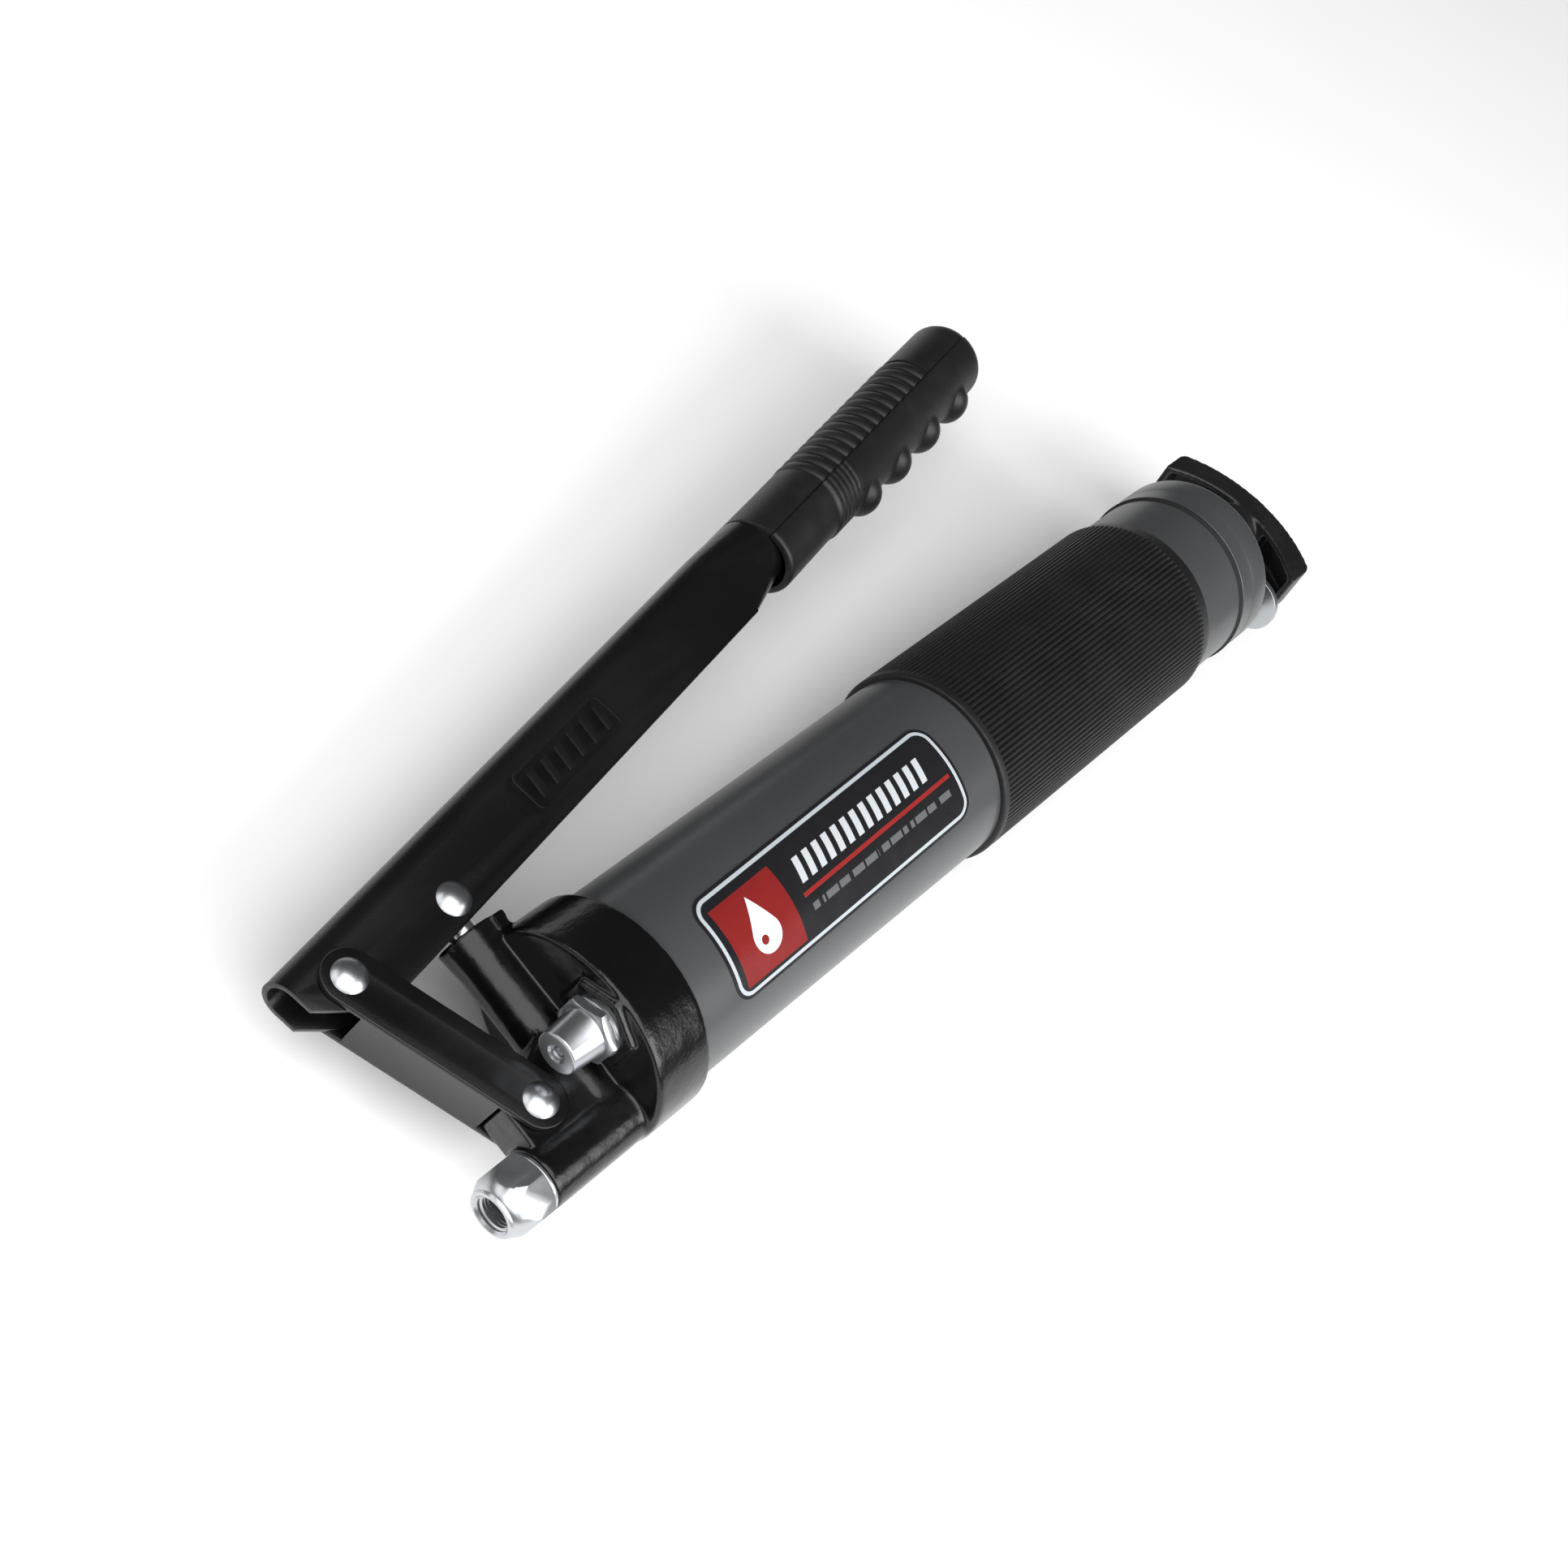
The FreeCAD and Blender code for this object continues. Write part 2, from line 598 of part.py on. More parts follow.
def lever_grip():
    start = along(lever_pivot, lever_angle, grip_start, 0)
    turn = math.radians(lever_angle)
    forward = FreeCAD.Vector(math.cos(turn), math.sin(turn), 0)
    body = Part.makeCylinder(grip_radius, grip_length, at(*start), forward)
    far = [e for e in body.Edges if e.Closed and e.BoundBox.Center.x > start[0] + grip_length / 2]
    body = body.makeFillet(grip_edge, far)
    rise = bump_radius - bump_height - grip_radius
    for place in range(bump_count):
        run = grip_start + grip_length - bump_end_gap - place * bump_pitch
        body = body.fuse(Part.makeSphere(bump_radius, at(*along(lever_pivot, lever_angle, run, rise))))
    socket = along(lever_pivot, lever_angle, grip_start - 1, tang_middle)
    body = body.cut(Part.makeCylinder(tang_radius + tang_flat, tang_length + 1, at(*socket), forward))
    return body.removeSplitter()


def plunger():
    extra_x, extra_y = eye_slot_extra
    reach = rivet_radius + eye_play
    slot_left, slot_right = plunger_x - reach, plunger_x + extra_x + reach
    slot_low, slot_high = plunger_pin_height - reach, plunger_pin_height + extra_y + reach
    low = slot_low - eye_wall - eye_neck
    body = block(slot_left - eye_wall, slot_right + eye_wall, low, slot_high + eye_wall,
                 -eye_thickness / 2, eye_thickness / 2)
    body = body.makeFillet(eye_edge, upright_edges(body))
    body = body.fuse(rod_y(plunger_radius, bore_bottom + bore_end_gap, low + 1, plunger_x))
    slot = block(slot_left, slot_right, slot_low, slot_high, -eye_thickness, eye_thickness)
    return body.cut(slot.makeFillet(rivet_radius, upright_edges(slot))).removeSplitter()


def upright_edges(shape):
    return [e for e in shape.Edges if e.BoundBox.ZLength > 1]


# ---------- barrel ----------
def barrel():
    body = ring_x(tube_radius, bore_radius, tube_front_x, tube_rear_x)
    bead_x = tube_rear_x - bead_back
    outer = tube_radius + bead_height
    bead = cone_x(tube_radius, outer, bead_x - bead_width / 2, bead_x)
    bead = bead.fuse(cone_x(outer, tube_radius, bead_x, bead_x + bead_width / 2))
    bead = bead.cut(rod_x(tube_radius - tube_wall / 3, bead_x - bead_width, bead_x + bead_width))
    return body.fuse(bead).removeSplitter()


def barrel_sleeve():
    front_edge, rear_edge, rear_step = 0.6, 2.5, 1.2
    outer = tube_radius + sleeve_wall
    body = rod_x(outer, sleeve_x + front_edge, sleeve_end_x - rear_edge)
    body = body.fuse(cone_x(outer - front_edge, outer, sleeve_x, sleeve_x + front_edge))
    body = body.fuse(cone_x(outer, outer - rear_step, sleeve_end_x - rear_edge, sleeve_end_x))
    return body.cut(rod_x(tube_radius, sleeve_x - 1, sleeve_end_x + 1)).removeSplitter()


def label():
    start, end = cap_rear_x + label_margin, sleeve_x - label_margin
    body = ring_x(tube_radius + label_thickness, tube_radius, start, end)
    wedge = Part.makeCylinder(tube_radius + 5, end - start + 2, at(start - 1, 0), out_x, label_angle)
    facing = wedge.CenterOfMass - at(wedge.CenterOfMass.x, 0)
    now = math.degrees(math.atan2(facing.z, facing.y))
    wedge.rotate(at(0, 0), out_x, label_turn - now)
    return body.common(wedge)


def end_cap():
    skirt = tube_radius + end_cap_wall
    edge_x = end_cap_rear_x - end_cap_edge
    body = rod_x(skirt, end_cap_front_x, edge_x)
    body = body.fuse(cone_x(skirt, skirt - end_cap_edge, edge_x, end_cap_rear_x))
    body = body.fuse(rod_x(latch_hub_radius, end_cap_rear_x - 1, latch_hub_end_x))
    body = body.cut(rod_x(tube_radius + push_fit, end_cap_front_x - 1, tube_rear_x))
    body = body.cut(rod_x(rod_radius + rod_gap, tube_rear_x - 1, latch_hub_end_x + 1))
    spring_room = latch_spring_radius + latch_spring_wire / 2 + 0.7
    body = body.cut(rod_x(spring_room, tube_rear_x + 1.5, latch_x - 1))
    half = latch_neck_width / 2 + fit_gap
    slot = block(latch_x - latch_travel - 1, latch_x + latch_thickness + 2 * fit_gap,
                 -latch_hub_radius - 2, latch_hub_radius + 2, -half, half)
    return body.cut(slot).removeSplitter()


def rod_latch():
    half = latch_neck_width / 2
    x0, x1 = latch_x, latch_x + latch_thickness
    tab_low = -latch_reach + latch_tab_radius
    body = block(x0, x1, tab_low, latch_tail, -half, half)
    body = body.fuse(block(x0, x1, tab_low, -latch_hub_radius - 2.5,
                           -latch_tab_radius, latch_tab_radius))
    body = body.fuse(rod_x(latch_tab_radius, x0, x1, tab_low))
    return body.cut(rod_x(rod_radius + latch_hole_gap, x0 - 1, x1 + 1)).removeSplitter()


def latch_spring():
    return coil_x(latch_spring_radius, latch_spring_wire, tube_rear_x + 1.55, latch_x - 0.05,
                  latch_spring_turns)


# ---------- follower and rod ----------
def follower_cup():
    outer = bore_radius - follower_gap
    waist, lip = outer - cup_waist, 2.0
    end = follower_x + cup_length
    body = rod_x(waist, follower_x + lip, end - lip)
    body = body.fuse(cone_x(outer, waist, follower_x, follower_x + lip))
    body = body.fuse(cone_x(waist, outer, end - lip, end))
    body = body.cut(rod_x(outer - cup_lip, follower_x - 1, web_front_x))
    body = body.cut(rod_x(outer - cup_lip, web_rear_x, end + 1))
    return body.cut(rod_x(rod_radius + fit_gap, follower_x, end)).removeSplitter()


def follower_plate(start):
    return ring_x(plate_radius, rod_radius + fit_gap, start, start + plate_thickness)


def front_plate():
    return follower_plate(web_front_x - plate_thickness)


def rear_plate():
    return follower_plate(web_rear_x)


def rod_nut():
    body = hex_x(nut_width, nut_end_x - nut_length, nut_end_x)
    return body.cut(rod_x(rod_radius, nut_end_x - nut_length - 1, nut_end_x + 1))


def follower_rod():
    start = nut_end_x - nut_length - 1.0
    body = rod_x(rod_radius, start, handle_hub_x + rod_seat)
    body = body.fuse(rod_x(rod_radius + collar_width, collar_x, collar_x + collar_length))
    return body.cut(pin_bar(4 * rod_radius))


def follower_spring():
    return coil_x(spring_radius, spring_wire, collar_x - 0.1, tube_rear_x - 0.1, spring_turns)


def pin_bar(length):
    """The handle pin's own bar, turned with the handle."""
    bar = rod_z(handle_pin_radius, length, handle_hub_x + handle_pin_back, 0)
    bar.rotate(at(0, 0), out_x, handle_turn)
    return bar


def handle_pin():
    return pin_bar(2 * handle_hub_radius)


def t_handle():
    half = handle_span / 2
    outer = (half ** 2 + handle_bow ** 2) / (2 * handle_bow)
    centre_x = handle_back_x - outer
    body = rod_z(outer, handle_height, centre_x, 0)
    body = body.cut(rod_z(outer - handle_depth, handle_height + 2, centre_x, 0))
    body = body.common(block(centre_x, handle_back_x + 1, -half, half,
                             -handle_height, handle_height))
    body = body.fuse(cone_x(handle_hub_radius, handle_hub_radius + handle_hub_flare, handle_hub_x,
                            handle_back_x - 3.0))
    pocket = rod_z(outer - handle_wall, handle_height - 2 * handle_wall, centre_x, 0)
    pocket = pocket.cut(rod_z(outer - handle_depth - 2, handle_height, centre_x, 0))
    near, far = handle_hub_radius + handle_wall, half - handle_wall
    for low, high in ((near, far), (-far, -near)):
        body = body.cut(pocket.common(block(centre_x, handle_back_x, low, high,
                                            -handle_height, handle_height)))
    body = body.cut(rod_x(rod_radius, handle_hub_x - 1, handle_hub_x + rod_seat))
    body.rotate(at(0, 0), out_x, handle_turn)
    return body.cut(pin_bar(handle_span)).removeSplitter()


nodes = {
    "head_casting": head_casting, "plunger_seal": plunger_seal, "barrel_gasket": barrel_gasket,
    "outlet_adapter": outlet_adapter, "outlet_washer": outlet_washer, "check_ball": check_ball,
    "check_spring": check_spring, "filler_valve_body": filler_valve_body,
    "filler_ball": filler_ball, "filler_spring": filler_spring, "bleeder_body": bleeder_body,
    "bleeder_pin": bleeder_pin, "bleeder_spring": bleeder_spring, "link": link,
    "lower_link_rivet": lower_link_rivet, "upper_link_rivet": upper_link_rivet,
    "plunger_rivet": plunger_rivet, "lever": lever, "lever_grip": lever_grip,
    "plunger": plunger, "barrel": barrel, "barrel_sleeve": barrel_sleeve, "label": label,
    "end_cap": end_cap, "rod_latch": rod_latch, "latch_spring": latch_spring,
    "follower_cup": follower_cup, "follower_front_plate": front_plate,
    "follower_rear_plate": rear_plate, "rod_nut": rod_nut, "follower_rod": follower_rod,
    "follower_spring": follower_spring, "t_handle": t_handle, "handle_pin": handle_pin,
}

os.makedirs("parts", exist_ok=True)
for name, make in nodes.items():
    shape = make()
    if not shape.isValid() or len(shape.Solids) != 1:
        print(name, "valid", shape.isValid(), "solids", len(shape.Solids))
    shape.exportStep("parts/" + name + ".step")
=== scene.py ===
import json
import math

import bmesh
import bpy
from mathutils import Matrix, Vector


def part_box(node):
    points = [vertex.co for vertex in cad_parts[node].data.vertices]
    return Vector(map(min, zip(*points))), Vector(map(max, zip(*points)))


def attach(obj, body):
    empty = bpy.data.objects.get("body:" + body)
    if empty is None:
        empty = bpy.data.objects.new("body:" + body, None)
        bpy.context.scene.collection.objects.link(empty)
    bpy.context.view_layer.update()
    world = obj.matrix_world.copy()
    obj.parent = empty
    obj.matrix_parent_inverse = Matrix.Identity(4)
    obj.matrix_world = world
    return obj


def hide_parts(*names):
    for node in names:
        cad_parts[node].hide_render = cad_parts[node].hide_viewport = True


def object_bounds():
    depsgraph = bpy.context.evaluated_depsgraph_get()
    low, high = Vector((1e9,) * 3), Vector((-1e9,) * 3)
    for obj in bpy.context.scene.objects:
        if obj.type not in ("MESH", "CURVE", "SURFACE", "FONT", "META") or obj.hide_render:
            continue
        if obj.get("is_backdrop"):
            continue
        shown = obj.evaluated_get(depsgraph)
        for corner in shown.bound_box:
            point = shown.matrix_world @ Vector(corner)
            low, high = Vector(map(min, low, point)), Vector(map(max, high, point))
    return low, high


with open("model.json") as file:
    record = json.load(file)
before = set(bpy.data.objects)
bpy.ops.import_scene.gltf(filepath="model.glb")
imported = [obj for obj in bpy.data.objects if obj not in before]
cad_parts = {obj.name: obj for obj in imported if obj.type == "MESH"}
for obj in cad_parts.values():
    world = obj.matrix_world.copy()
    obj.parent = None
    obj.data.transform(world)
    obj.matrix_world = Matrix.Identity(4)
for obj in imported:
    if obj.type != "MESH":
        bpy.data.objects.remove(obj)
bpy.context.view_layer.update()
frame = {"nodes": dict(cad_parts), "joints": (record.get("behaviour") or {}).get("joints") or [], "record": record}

mm = 0.001
quarter = math.pi / 2
print("frame loaded:", len(frame["nodes"]), "nodes")


# ---- where things are, read from the frame ----

def jointPlace(name):
    found = next(joint for joint in frame["joints"] if joint["name"] == name)
    return Vector(found["pos_m"])


def middle(node):
    low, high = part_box(node)
    return (low + high) / 2


def metres(stations):
    return [(x * mm, radius * mm) for x, radius in stations]


axis = middle("rod_nut")                    # the barrel's own axis runs along X through this point
axisY, axisZ = axis.y, axis.z
sleeveFront, sleeveRear = (corner.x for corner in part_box("barrel_sleeve"))
gasketInset = 0.1 * mm                      # the gasket's edge, inside the tube's outer wall
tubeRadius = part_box("barrel_gasket")[1].z - axisZ + gasketInset
upperPivot = jointPlace("lever_swing")
leverAngle = math.radians(10.4)             # lever to barrel, closed
leverPlace = Matrix.Translation(upperPivot) @ Matrix.Rotation(leverAngle, 4, "Z")


# ---- modelling helpers ----

def clearAll():
    if bpy.context.object and bpy.context.object.mode != "OBJECT":
        bpy.ops.object.mode_set(mode="OBJECT")
    bpy.ops.object.select_all(action="DESELECT")


def take(*pieces):
    clearAll()
    for piece in pieces:
        piece.select_set(True)
    bpy.context.view_layer.objects.active = pieces[0]
    return pieces[0]


def settle(piece):
    take(piece)
    bpy.ops.object.transform_apply(location=True, rotation=True, scale=True)
    return piece


def edit(piece, kind="FACE"):
    take(piece)
    bpy.ops.object.mode_set(mode="EDIT")
    bpy.ops.mesh.select_mode(type=kind)
    bpy.ops.mesh.select_all(action="DESELECT")


def pick(piece, test, kind="FACE"):
    # selects by place or normal, on a piece that is in edit mode
    bpy.ops.mesh.select_mode(type=kind)
    bpy.ops.mesh.select_all(action="DESELECT")
    mesh = bmesh.from_edit_mesh(piece.data)
    for item in {"FACE": mesh.faces, "EDGE": mesh.edges, "VERT": mesh.verts}[kind]:
        if test(item):
            item.select_set(True)
    mesh.select_flush_mode()
    bmesh.update_edit_mesh(piece.data)


def done(piece, angle=35):
    take(piece)
    bpy.ops.object.shade_smooth_by_angle(angle=math.radians(angle))
    return piece


def modify(piece, kind, **settings):
    take(piece)
    made = piece.modifiers.new(kind, kind)
    for name, value in settings.items():
        setattr(made, name, value)
    bpy.ops.object.modifier_apply(modifier=made.name)
    return piece


def join(*pieces):
    take(*pieces)
    bpy.ops.object.join()
    return pieces[0]


def copyOf(node, tolerance=0.004):
    # a working copy of a CAD node's mesh, with its loose triangles joined
    source = frame["nodes"][node]
    mesh = source.data.copy()
    mesh.materials.clear()
    piece = bpy.data.objects.new(node + "Shape", mesh)
    bpy.context.scene.collection.objects.link(piece)
    edit(piece, "VERT")
    bpy.ops.mesh.select_all(action="SELECT")
    bpy.ops.mesh.customdata_custom_splitnormals_clear()
    bpy.ops.mesh.remove_doubles(threshold=tolerance * mm)
    bpy.ops.mesh.faces_shade_smooth()
    bpy.ops.object.mode_set(mode="OBJECT")
    return piece


def softEdges(piece, width, limit=30, segments=2, flat=4):
    # joins the flat triangles and rounds every sharp edge
    edit(piece)
    bpy.ops.mesh.select_all(action="SELECT")
    bpy.ops.mesh.dissolve_limited(angle_limit=math.radians(flat))
    bpy.ops.object.mode_set(mode="OBJECT")
    modify(piece, "BEVEL", width=width * mm, segments=segments, limit_method="ANGLE",
           angle_limit=math.radians(limit), use_clamp_overlap=True, harden_normals=False)
    return piece


def remesh(piece, voxel, rounds, factor=0.5):
    modify(piece, "REMESH", mode="VOXEL", voxel_size=voxel * mm, use_smooth_shade=True)
    modify(piece, "SMOOTH", iterations=rounds, factor=factor)
    return piece


def turned(name, stations, sides=128, closed=True, y=None, z=None):
    # a ring drawn along X through (x, radius) stations, in metres
    y, z = (axisY if y is None else y), (axisZ if z is None else z)
    x, radius = stations[0]
    clearAll()
    bpy.ops.mesh.primitive_circle_add(vertices=sides, radius=radius, location=(x, y, z),
                                      rotation=(0, quarter, 0))
    piece = settle(bpy.context.object)
    piece.name = name
    edit(piece, "EDGE")
    bpy.ops.mesh.select_all(action="SELECT")
    for nextX, nextRadius in stations[1:]:
        bpy.ops.mesh.extrude_region_move(TRANSFORM_OT_translate={"value": (nextX - x, 0, 0)})
        share = nextRadius / radius
        bpy.ops.transform.resize(value=(1, share, share), center_override=(nextX, y, z))
        x, radius = nextX, nextRadius
    if closed:
        pick(piece, lambda edge: edge.is_boundary, "EDGE")
        bpy.ops.mesh.bridge_edge_loops()
    bpy.ops.mesh.select_all(action="SELECT")
    bpy.ops.mesh.normals_make_consistent(inside=False)
    bpy.ops.object.mode_set(mode="OBJECT")
    return piece


def boolean(piece, tool, operation):
    modify(piece, "BOOLEAN", operation=operation, object=tool, solver="EXACT")
    bpy.data.objects.remove(tool)
    return piece


def hexBar(name, start, end, width, y, z, outline):
    # a hexagonal bar along X, turned down to an outline of (x, radius) stations, in metres
    clearAll()
    bpy.ops.mesh.primitive_cylinder_add(vertices=6, radius=width / math.sqrt(3), depth=end - start,
                                        rotation=(0, quarter, 0))
    bar = settle(bpy.context.object)
    bar.name = name
    place = Matrix.Translation(((start + end) / 2, y, z))
    bar.data.transform(place @ Matrix.Rotation(quarter / 3, 4, "X"))
    return boolean(bar, turned("corners", outline, 120, True, y, z), "INTERSECT")


def hexHead(name, start, end, width, y, z, inner, front, back, frontRun, edge):
    # a hexagonal bar, in mm, whose corners are turned down by front and back at its two faces
    corner, over, backRun = width / math.sqrt(3), 0.02, 0.6
    outline = [(start - over, inner), (start - over, corner - front),
               (start + frontRun * front, corner + over), (end - backRun * back, corner + over), (end + over, corner - back), (end + over, inner)]
    return smallEdges(hexBar(name, start * mm, end * mm, width * mm, y, z, metres(outline)), edge)


def smallEdges(piece, width, limit=28, shade=32):
    modify(piece, "BEVEL", width=width * mm, segments=2, limit_method="ANGLE",
           angle_limit=math.radians(limit), use_clamp_overlap=True)
    return done(piece, shade)


def rounding(cornerX, cornerRadius, size, towards, steps=5):
    # stations of a quarter round between a face and an outer wall: "out" leaves a front face,
    # "in" comes back to a rear face
    side = 1 if towards == "out" else -1
    stations = []
    for step in range(steps + 1):
        turn = quarter * step / steps
        stations.append((cornerX + side * size * (1 - math.sin(turn)),
                         cornerRadius - size * (1 - math.cos(turn))))
    return stations[::-1] if towards == "out" else stations


def finish(piece, name, body, slot, paint, *nodes):
    piece.name = name
    piece.data.name = name
    piece.data.materials.clear()
    piece.data.materials.append(paint)
    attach(piece, body)
    if nodes:
        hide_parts(*nodes)
    return piece


# ---- shader maths ----

class Wire:
    # one value of a material, which Python's own signs add up as Math nodes
    def __init__(self, paint, socket):
        self.paint, self.socket = paint, socket

    def maths(self, operation, *values):
        return self.paint.node("ShaderNodeMath", {"operation": operation}, values)

    def __add__(self, other):
        return self.maths("ADD", self, other)

    def __sub__(self, other):
        return self.maths("SUBTRACT", self, other)

    def __rsub__(self, other):
        return self.maths("SUBTRACT", other, self)

    def __mul__(self, other):
        return self.maths("MULTIPLY", self, other)

    def __truediv__(self, other):
        return self.maths("DIVIDE", self, other)

    def __pow__(self, other):
        return self.maths("POWER", self, other)

    __radd__ = __add__
    __rmul__ = __mul__

    def size(self):
        return self.maths("ABSOLUTE", self)

    def least(self, other):
        return self.maths("MINIMUM", self, other)

    def most(self, other):
        return self.maths("MAXIMUM", self, other)

    def above(self, other):
        return self.maths("GREATER_THAN", self, other)

    def below(self, other):
        return self.maths("LESS_THAN", self, other)

    def wrap(self, step):
        return self.maths("FLOORED_MODULO", self, step)

    def part(self, name):
        return Wire(self.paint, found(self.socket.node.outputs, name))


def found(sockets, key):
    if isinstance(key, int):
        return sockets[key]
    return next(socket for socket in sockets if key in (socket.identifier, socket.name))


class Paint:
    # a material under construction: its Principled shader and the one method that adds nodes
    def __init__(self, name, **constants):
        self.material = bpy.data.materials.new(name)
        self.material.use_nodes = True
        self.tree = self.material.node_tree
        self.shader = self.tree.nodes["Principled BSDF"]
        for socket, value in constants.items():
            self.feed(self.shader, socket.replace("_", " "), value)
        self.place = self.node("ShaderNodeTexCoord", out="Object")

    def feed(self, node, key, value):
        target = found(node.inputs, key)
        if isinstance(value, Wire):
            self.tree.links.new(value.socket, target)
        elif isinstance(value, (tuple, list)) and len(value) == 3 and target.type == "RGBA":
            target.default_value = (*value, 1)
        else:
            target.default_value = value

    def node(self, kind, settings=None, values=(), out=0):
        made = self.tree.nodes.new(kind)
        for name, value in (settings or {}).items():
            setattr(made, name, value)
        pairs = values.items() if isinstance(values, dict) else enumerate(values)
        for key, value in pairs:
            self.feed(made, key, value)
        return Wire(self, found(made.outputs, out))

    def stretched(self, x, y, z):
        return self.node("ShaderNodeMapping", {"vector_type": "POINT"},
                         {"Vector": self.place, "Scale": (x, y, z)})

    def noise(self, size, detail=3.0, rough=0.5, place=None):
        # size is the width of one blotch, in millimetres
        return self.node("ShaderNodeTexNoise", {},
                         {"Vector": place or self.place, "Scale": 1 / (size * mm),
                          "Detail": detail, "Roughness": rough})

    def ramp(self, value, low, high, first=0.0, last=1.0):
        return self.node("ShaderNodeMapRange", {"interpolation_type": "SMOOTHSTEP"},
                         {"Value": value, "From Min": low, "From Max": high,
                          "To Min": first, "To Max": last})

    def blend(self, share, first, second):
        return self.node("ShaderNodeMix", {"data_type": "RGBA"},
                         {"Factor_Float": share, "A_Color": first, "B_Color": second},
                         out="Result_Color")

    def rough(self, heights, depth, strength=1.0):
        # a bump whose full height is depth millimetres
        bump = self.node("ShaderNodeBump", {},
                         {"Strength": strength, "Distance": depth * mm, "Height": heights})
        self.feed(self.shader, "Normal", bump)

    def surface(self, **wires):
        for socket, value in wires.items():
            self.feed(self.shader, socket.replace("_", " "), value)
        return self.material


# ---- materials ----

def castingPaint():
    look = {"colour": (0.0030, 0.0030, 0.0033), "light": (0.0062, 0.0062, 0.0066), "gloss": 0.11}
    paint = Paint("castingPaint", Specular_IOR_Level=0.40)
    sand = paint.noise(0.8, 4, 0.6)
    wave = paint.noise(5.0, 2)
    dust = paint.noise(22, 5, 0.65)
    colour = paint.blend(paint.ramp(dust, 0.45, 0.7), look["colour"], look["light"])
    paint.rough(sand * 0.35 + wave, 0.2, 0.8)
    return paint.surface(Base_Color=colour, Roughness=look["gloss"] + dust * 0.10 + sand * 0.06)


def stampingPaint():
    look = {"colour": (0.0034, 0.0034, 0.0037), "light": (0.0075, 0.0075, 0.0080),
            "speck": (0.035, 0.035, 0.035), "gloss": 0.20}
    paint = Paint("stampingPaint", Specular_IOR_Level=0.36)
    peel = paint.noise(0.55, 3, 0.5)
    smear = paint.noise(26, 4, 0.6, paint.stretched(0.35, 1, 1))
    speck = paint.noise(0.9, 1)
    colour = paint.blend(paint.ramp(smear, 0.42, 0.72), look["colour"], look["light"])
    colour = paint.blend(paint.ramp(speck, 0.80, 0.85), colour, look["speck"])
    paint.rough(peel, 0.035, 0.6)
    return paint.surface(Base_Color=colour, Roughness=look["gloss"] + smear * 0.12 + peel * 0.05)


def barrelPaint():
    look = {"colour": (0.050, 0.052, 0.054), "light": (0.078, 0.081, 0.084), "gloss": 0.3,
            "beadShade": (0.004, 0.004, 0.004), "beadShadeBack": 13.8, "beadShadeHalf": (0.85, 1.0)}
    paint = Paint("barrelPaint", Coat_Roughness=0.18)
    flake = paint.noise(0.22, 2, 0.7)
    drift = paint.noise(30, 4, 0.55)
    colour = paint.blend(flake * 0.55 + drift * 0.45, look["colour"], look["light"])
    # painted shade: the bead in front of the end cap is painted black, standing in for the shade of its groove;
    # that band also loses its coat and metal and turns rough
    along = paint.node("ShaderNodeSeparateXYZ", {}, (paint.place,))
    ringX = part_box("barrel")[1].x - look["beadShadeBack"] * mm
    beadShade = paint.ramp((along - ringX).size(), look["beadShadeHalf"][0] * mm, look["beadShadeHalf"][1] * mm, 1.0, 0.0)
    colour = paint.blend(beadShade, colour, look["beadShade"])
    paint.rough(paint.noise(0.9, 3, 0.5) + flake * 0.3, 0.03, 0.6)
    return paint.surface(Base_Color=colour, Coat_Weight=0.2 - beadShade * 0.2, Metallic=0.25 - beadShade * 0.25,
                         Roughness=look["gloss"] + flake * 0.08 + drift * 0.1 + beadShade * 0.4)


def zincPlate():
    look = {"colour": (0.43, 0.45, 0.475), "light": (0.56, 0.575, 0.59), "gloss": 0.25}
    paint = Paint("zincPlate", Metallic=1.0)
    tumble = paint.noise(0.6, 4, 0.6)
    cloud = paint.noise(5, 3, 0.6)
    colour = paint.blend(cloud * 0.75 + tumble * 0.25, look["colour"], look["light"])
    paint.rough(tumble + cloud, 0.008, 0.45)
    return paint.surface(Base_Color=colour, Roughness=look["gloss"] + tumble * 0.08 + cloud * 0.05)


def groundSteel():
    look = {"colour": (0.50, 0.50, 0.51), "light": (0.68, 0.68, 0.69), "gloss": 0.16}
    paint = Paint("groundSteel", Metallic=1.0)
    lines = paint.noise(0.25, 2, 0.5, paint.stretched(3, 1, 1))
    cloud = paint.noise(6, 3)
    paint.rough(lines, 0.006, 0.5)
    return paint.surface(Base_Color=paint.blend(cloud, look["colour"], look["light"]),
                         Roughness=look["gloss"] + lines * 0.16)


def springSteel():
    look = {"colour": (0.19, 0.19, 0.20), "light": (0.36, 0.36, 0.37), "gloss": 0.27}
    paint = Paint("springSteel", Metallic=1.0)
    film = paint.noise(2.2, 4, 0.6)
    paint.rough(paint.noise(0.3, 2), 0.008, 0.5)
    return paint.surface(Base_Color=paint.blend(film, look["colour"], look["light"]),
                         Roughness=look["gloss"] + film * 0.18)


def blackRubber(name="blackRubber", colour=(0.0052, 0.0052, 0.0056), gloss=0.40, grain=0.04):
    paint = Paint(name, Specular_IOR_Level=0.45)
    skin = paint.noise(0.35, 4, 0.7)
    dust = paint.noise(11, 5, 0.65)
    light = tuple(level * 1.6 for level in colour)
    tint = paint.blend(paint.ramp(dust + skin * 0.2, 0.5, 0.85), colour, light)
    paint.rough(skin, grain, 0.7)
    return paint.surface(Base_Color=tint, Roughness=gloss + dust * 0.16 + skin * 0.08)


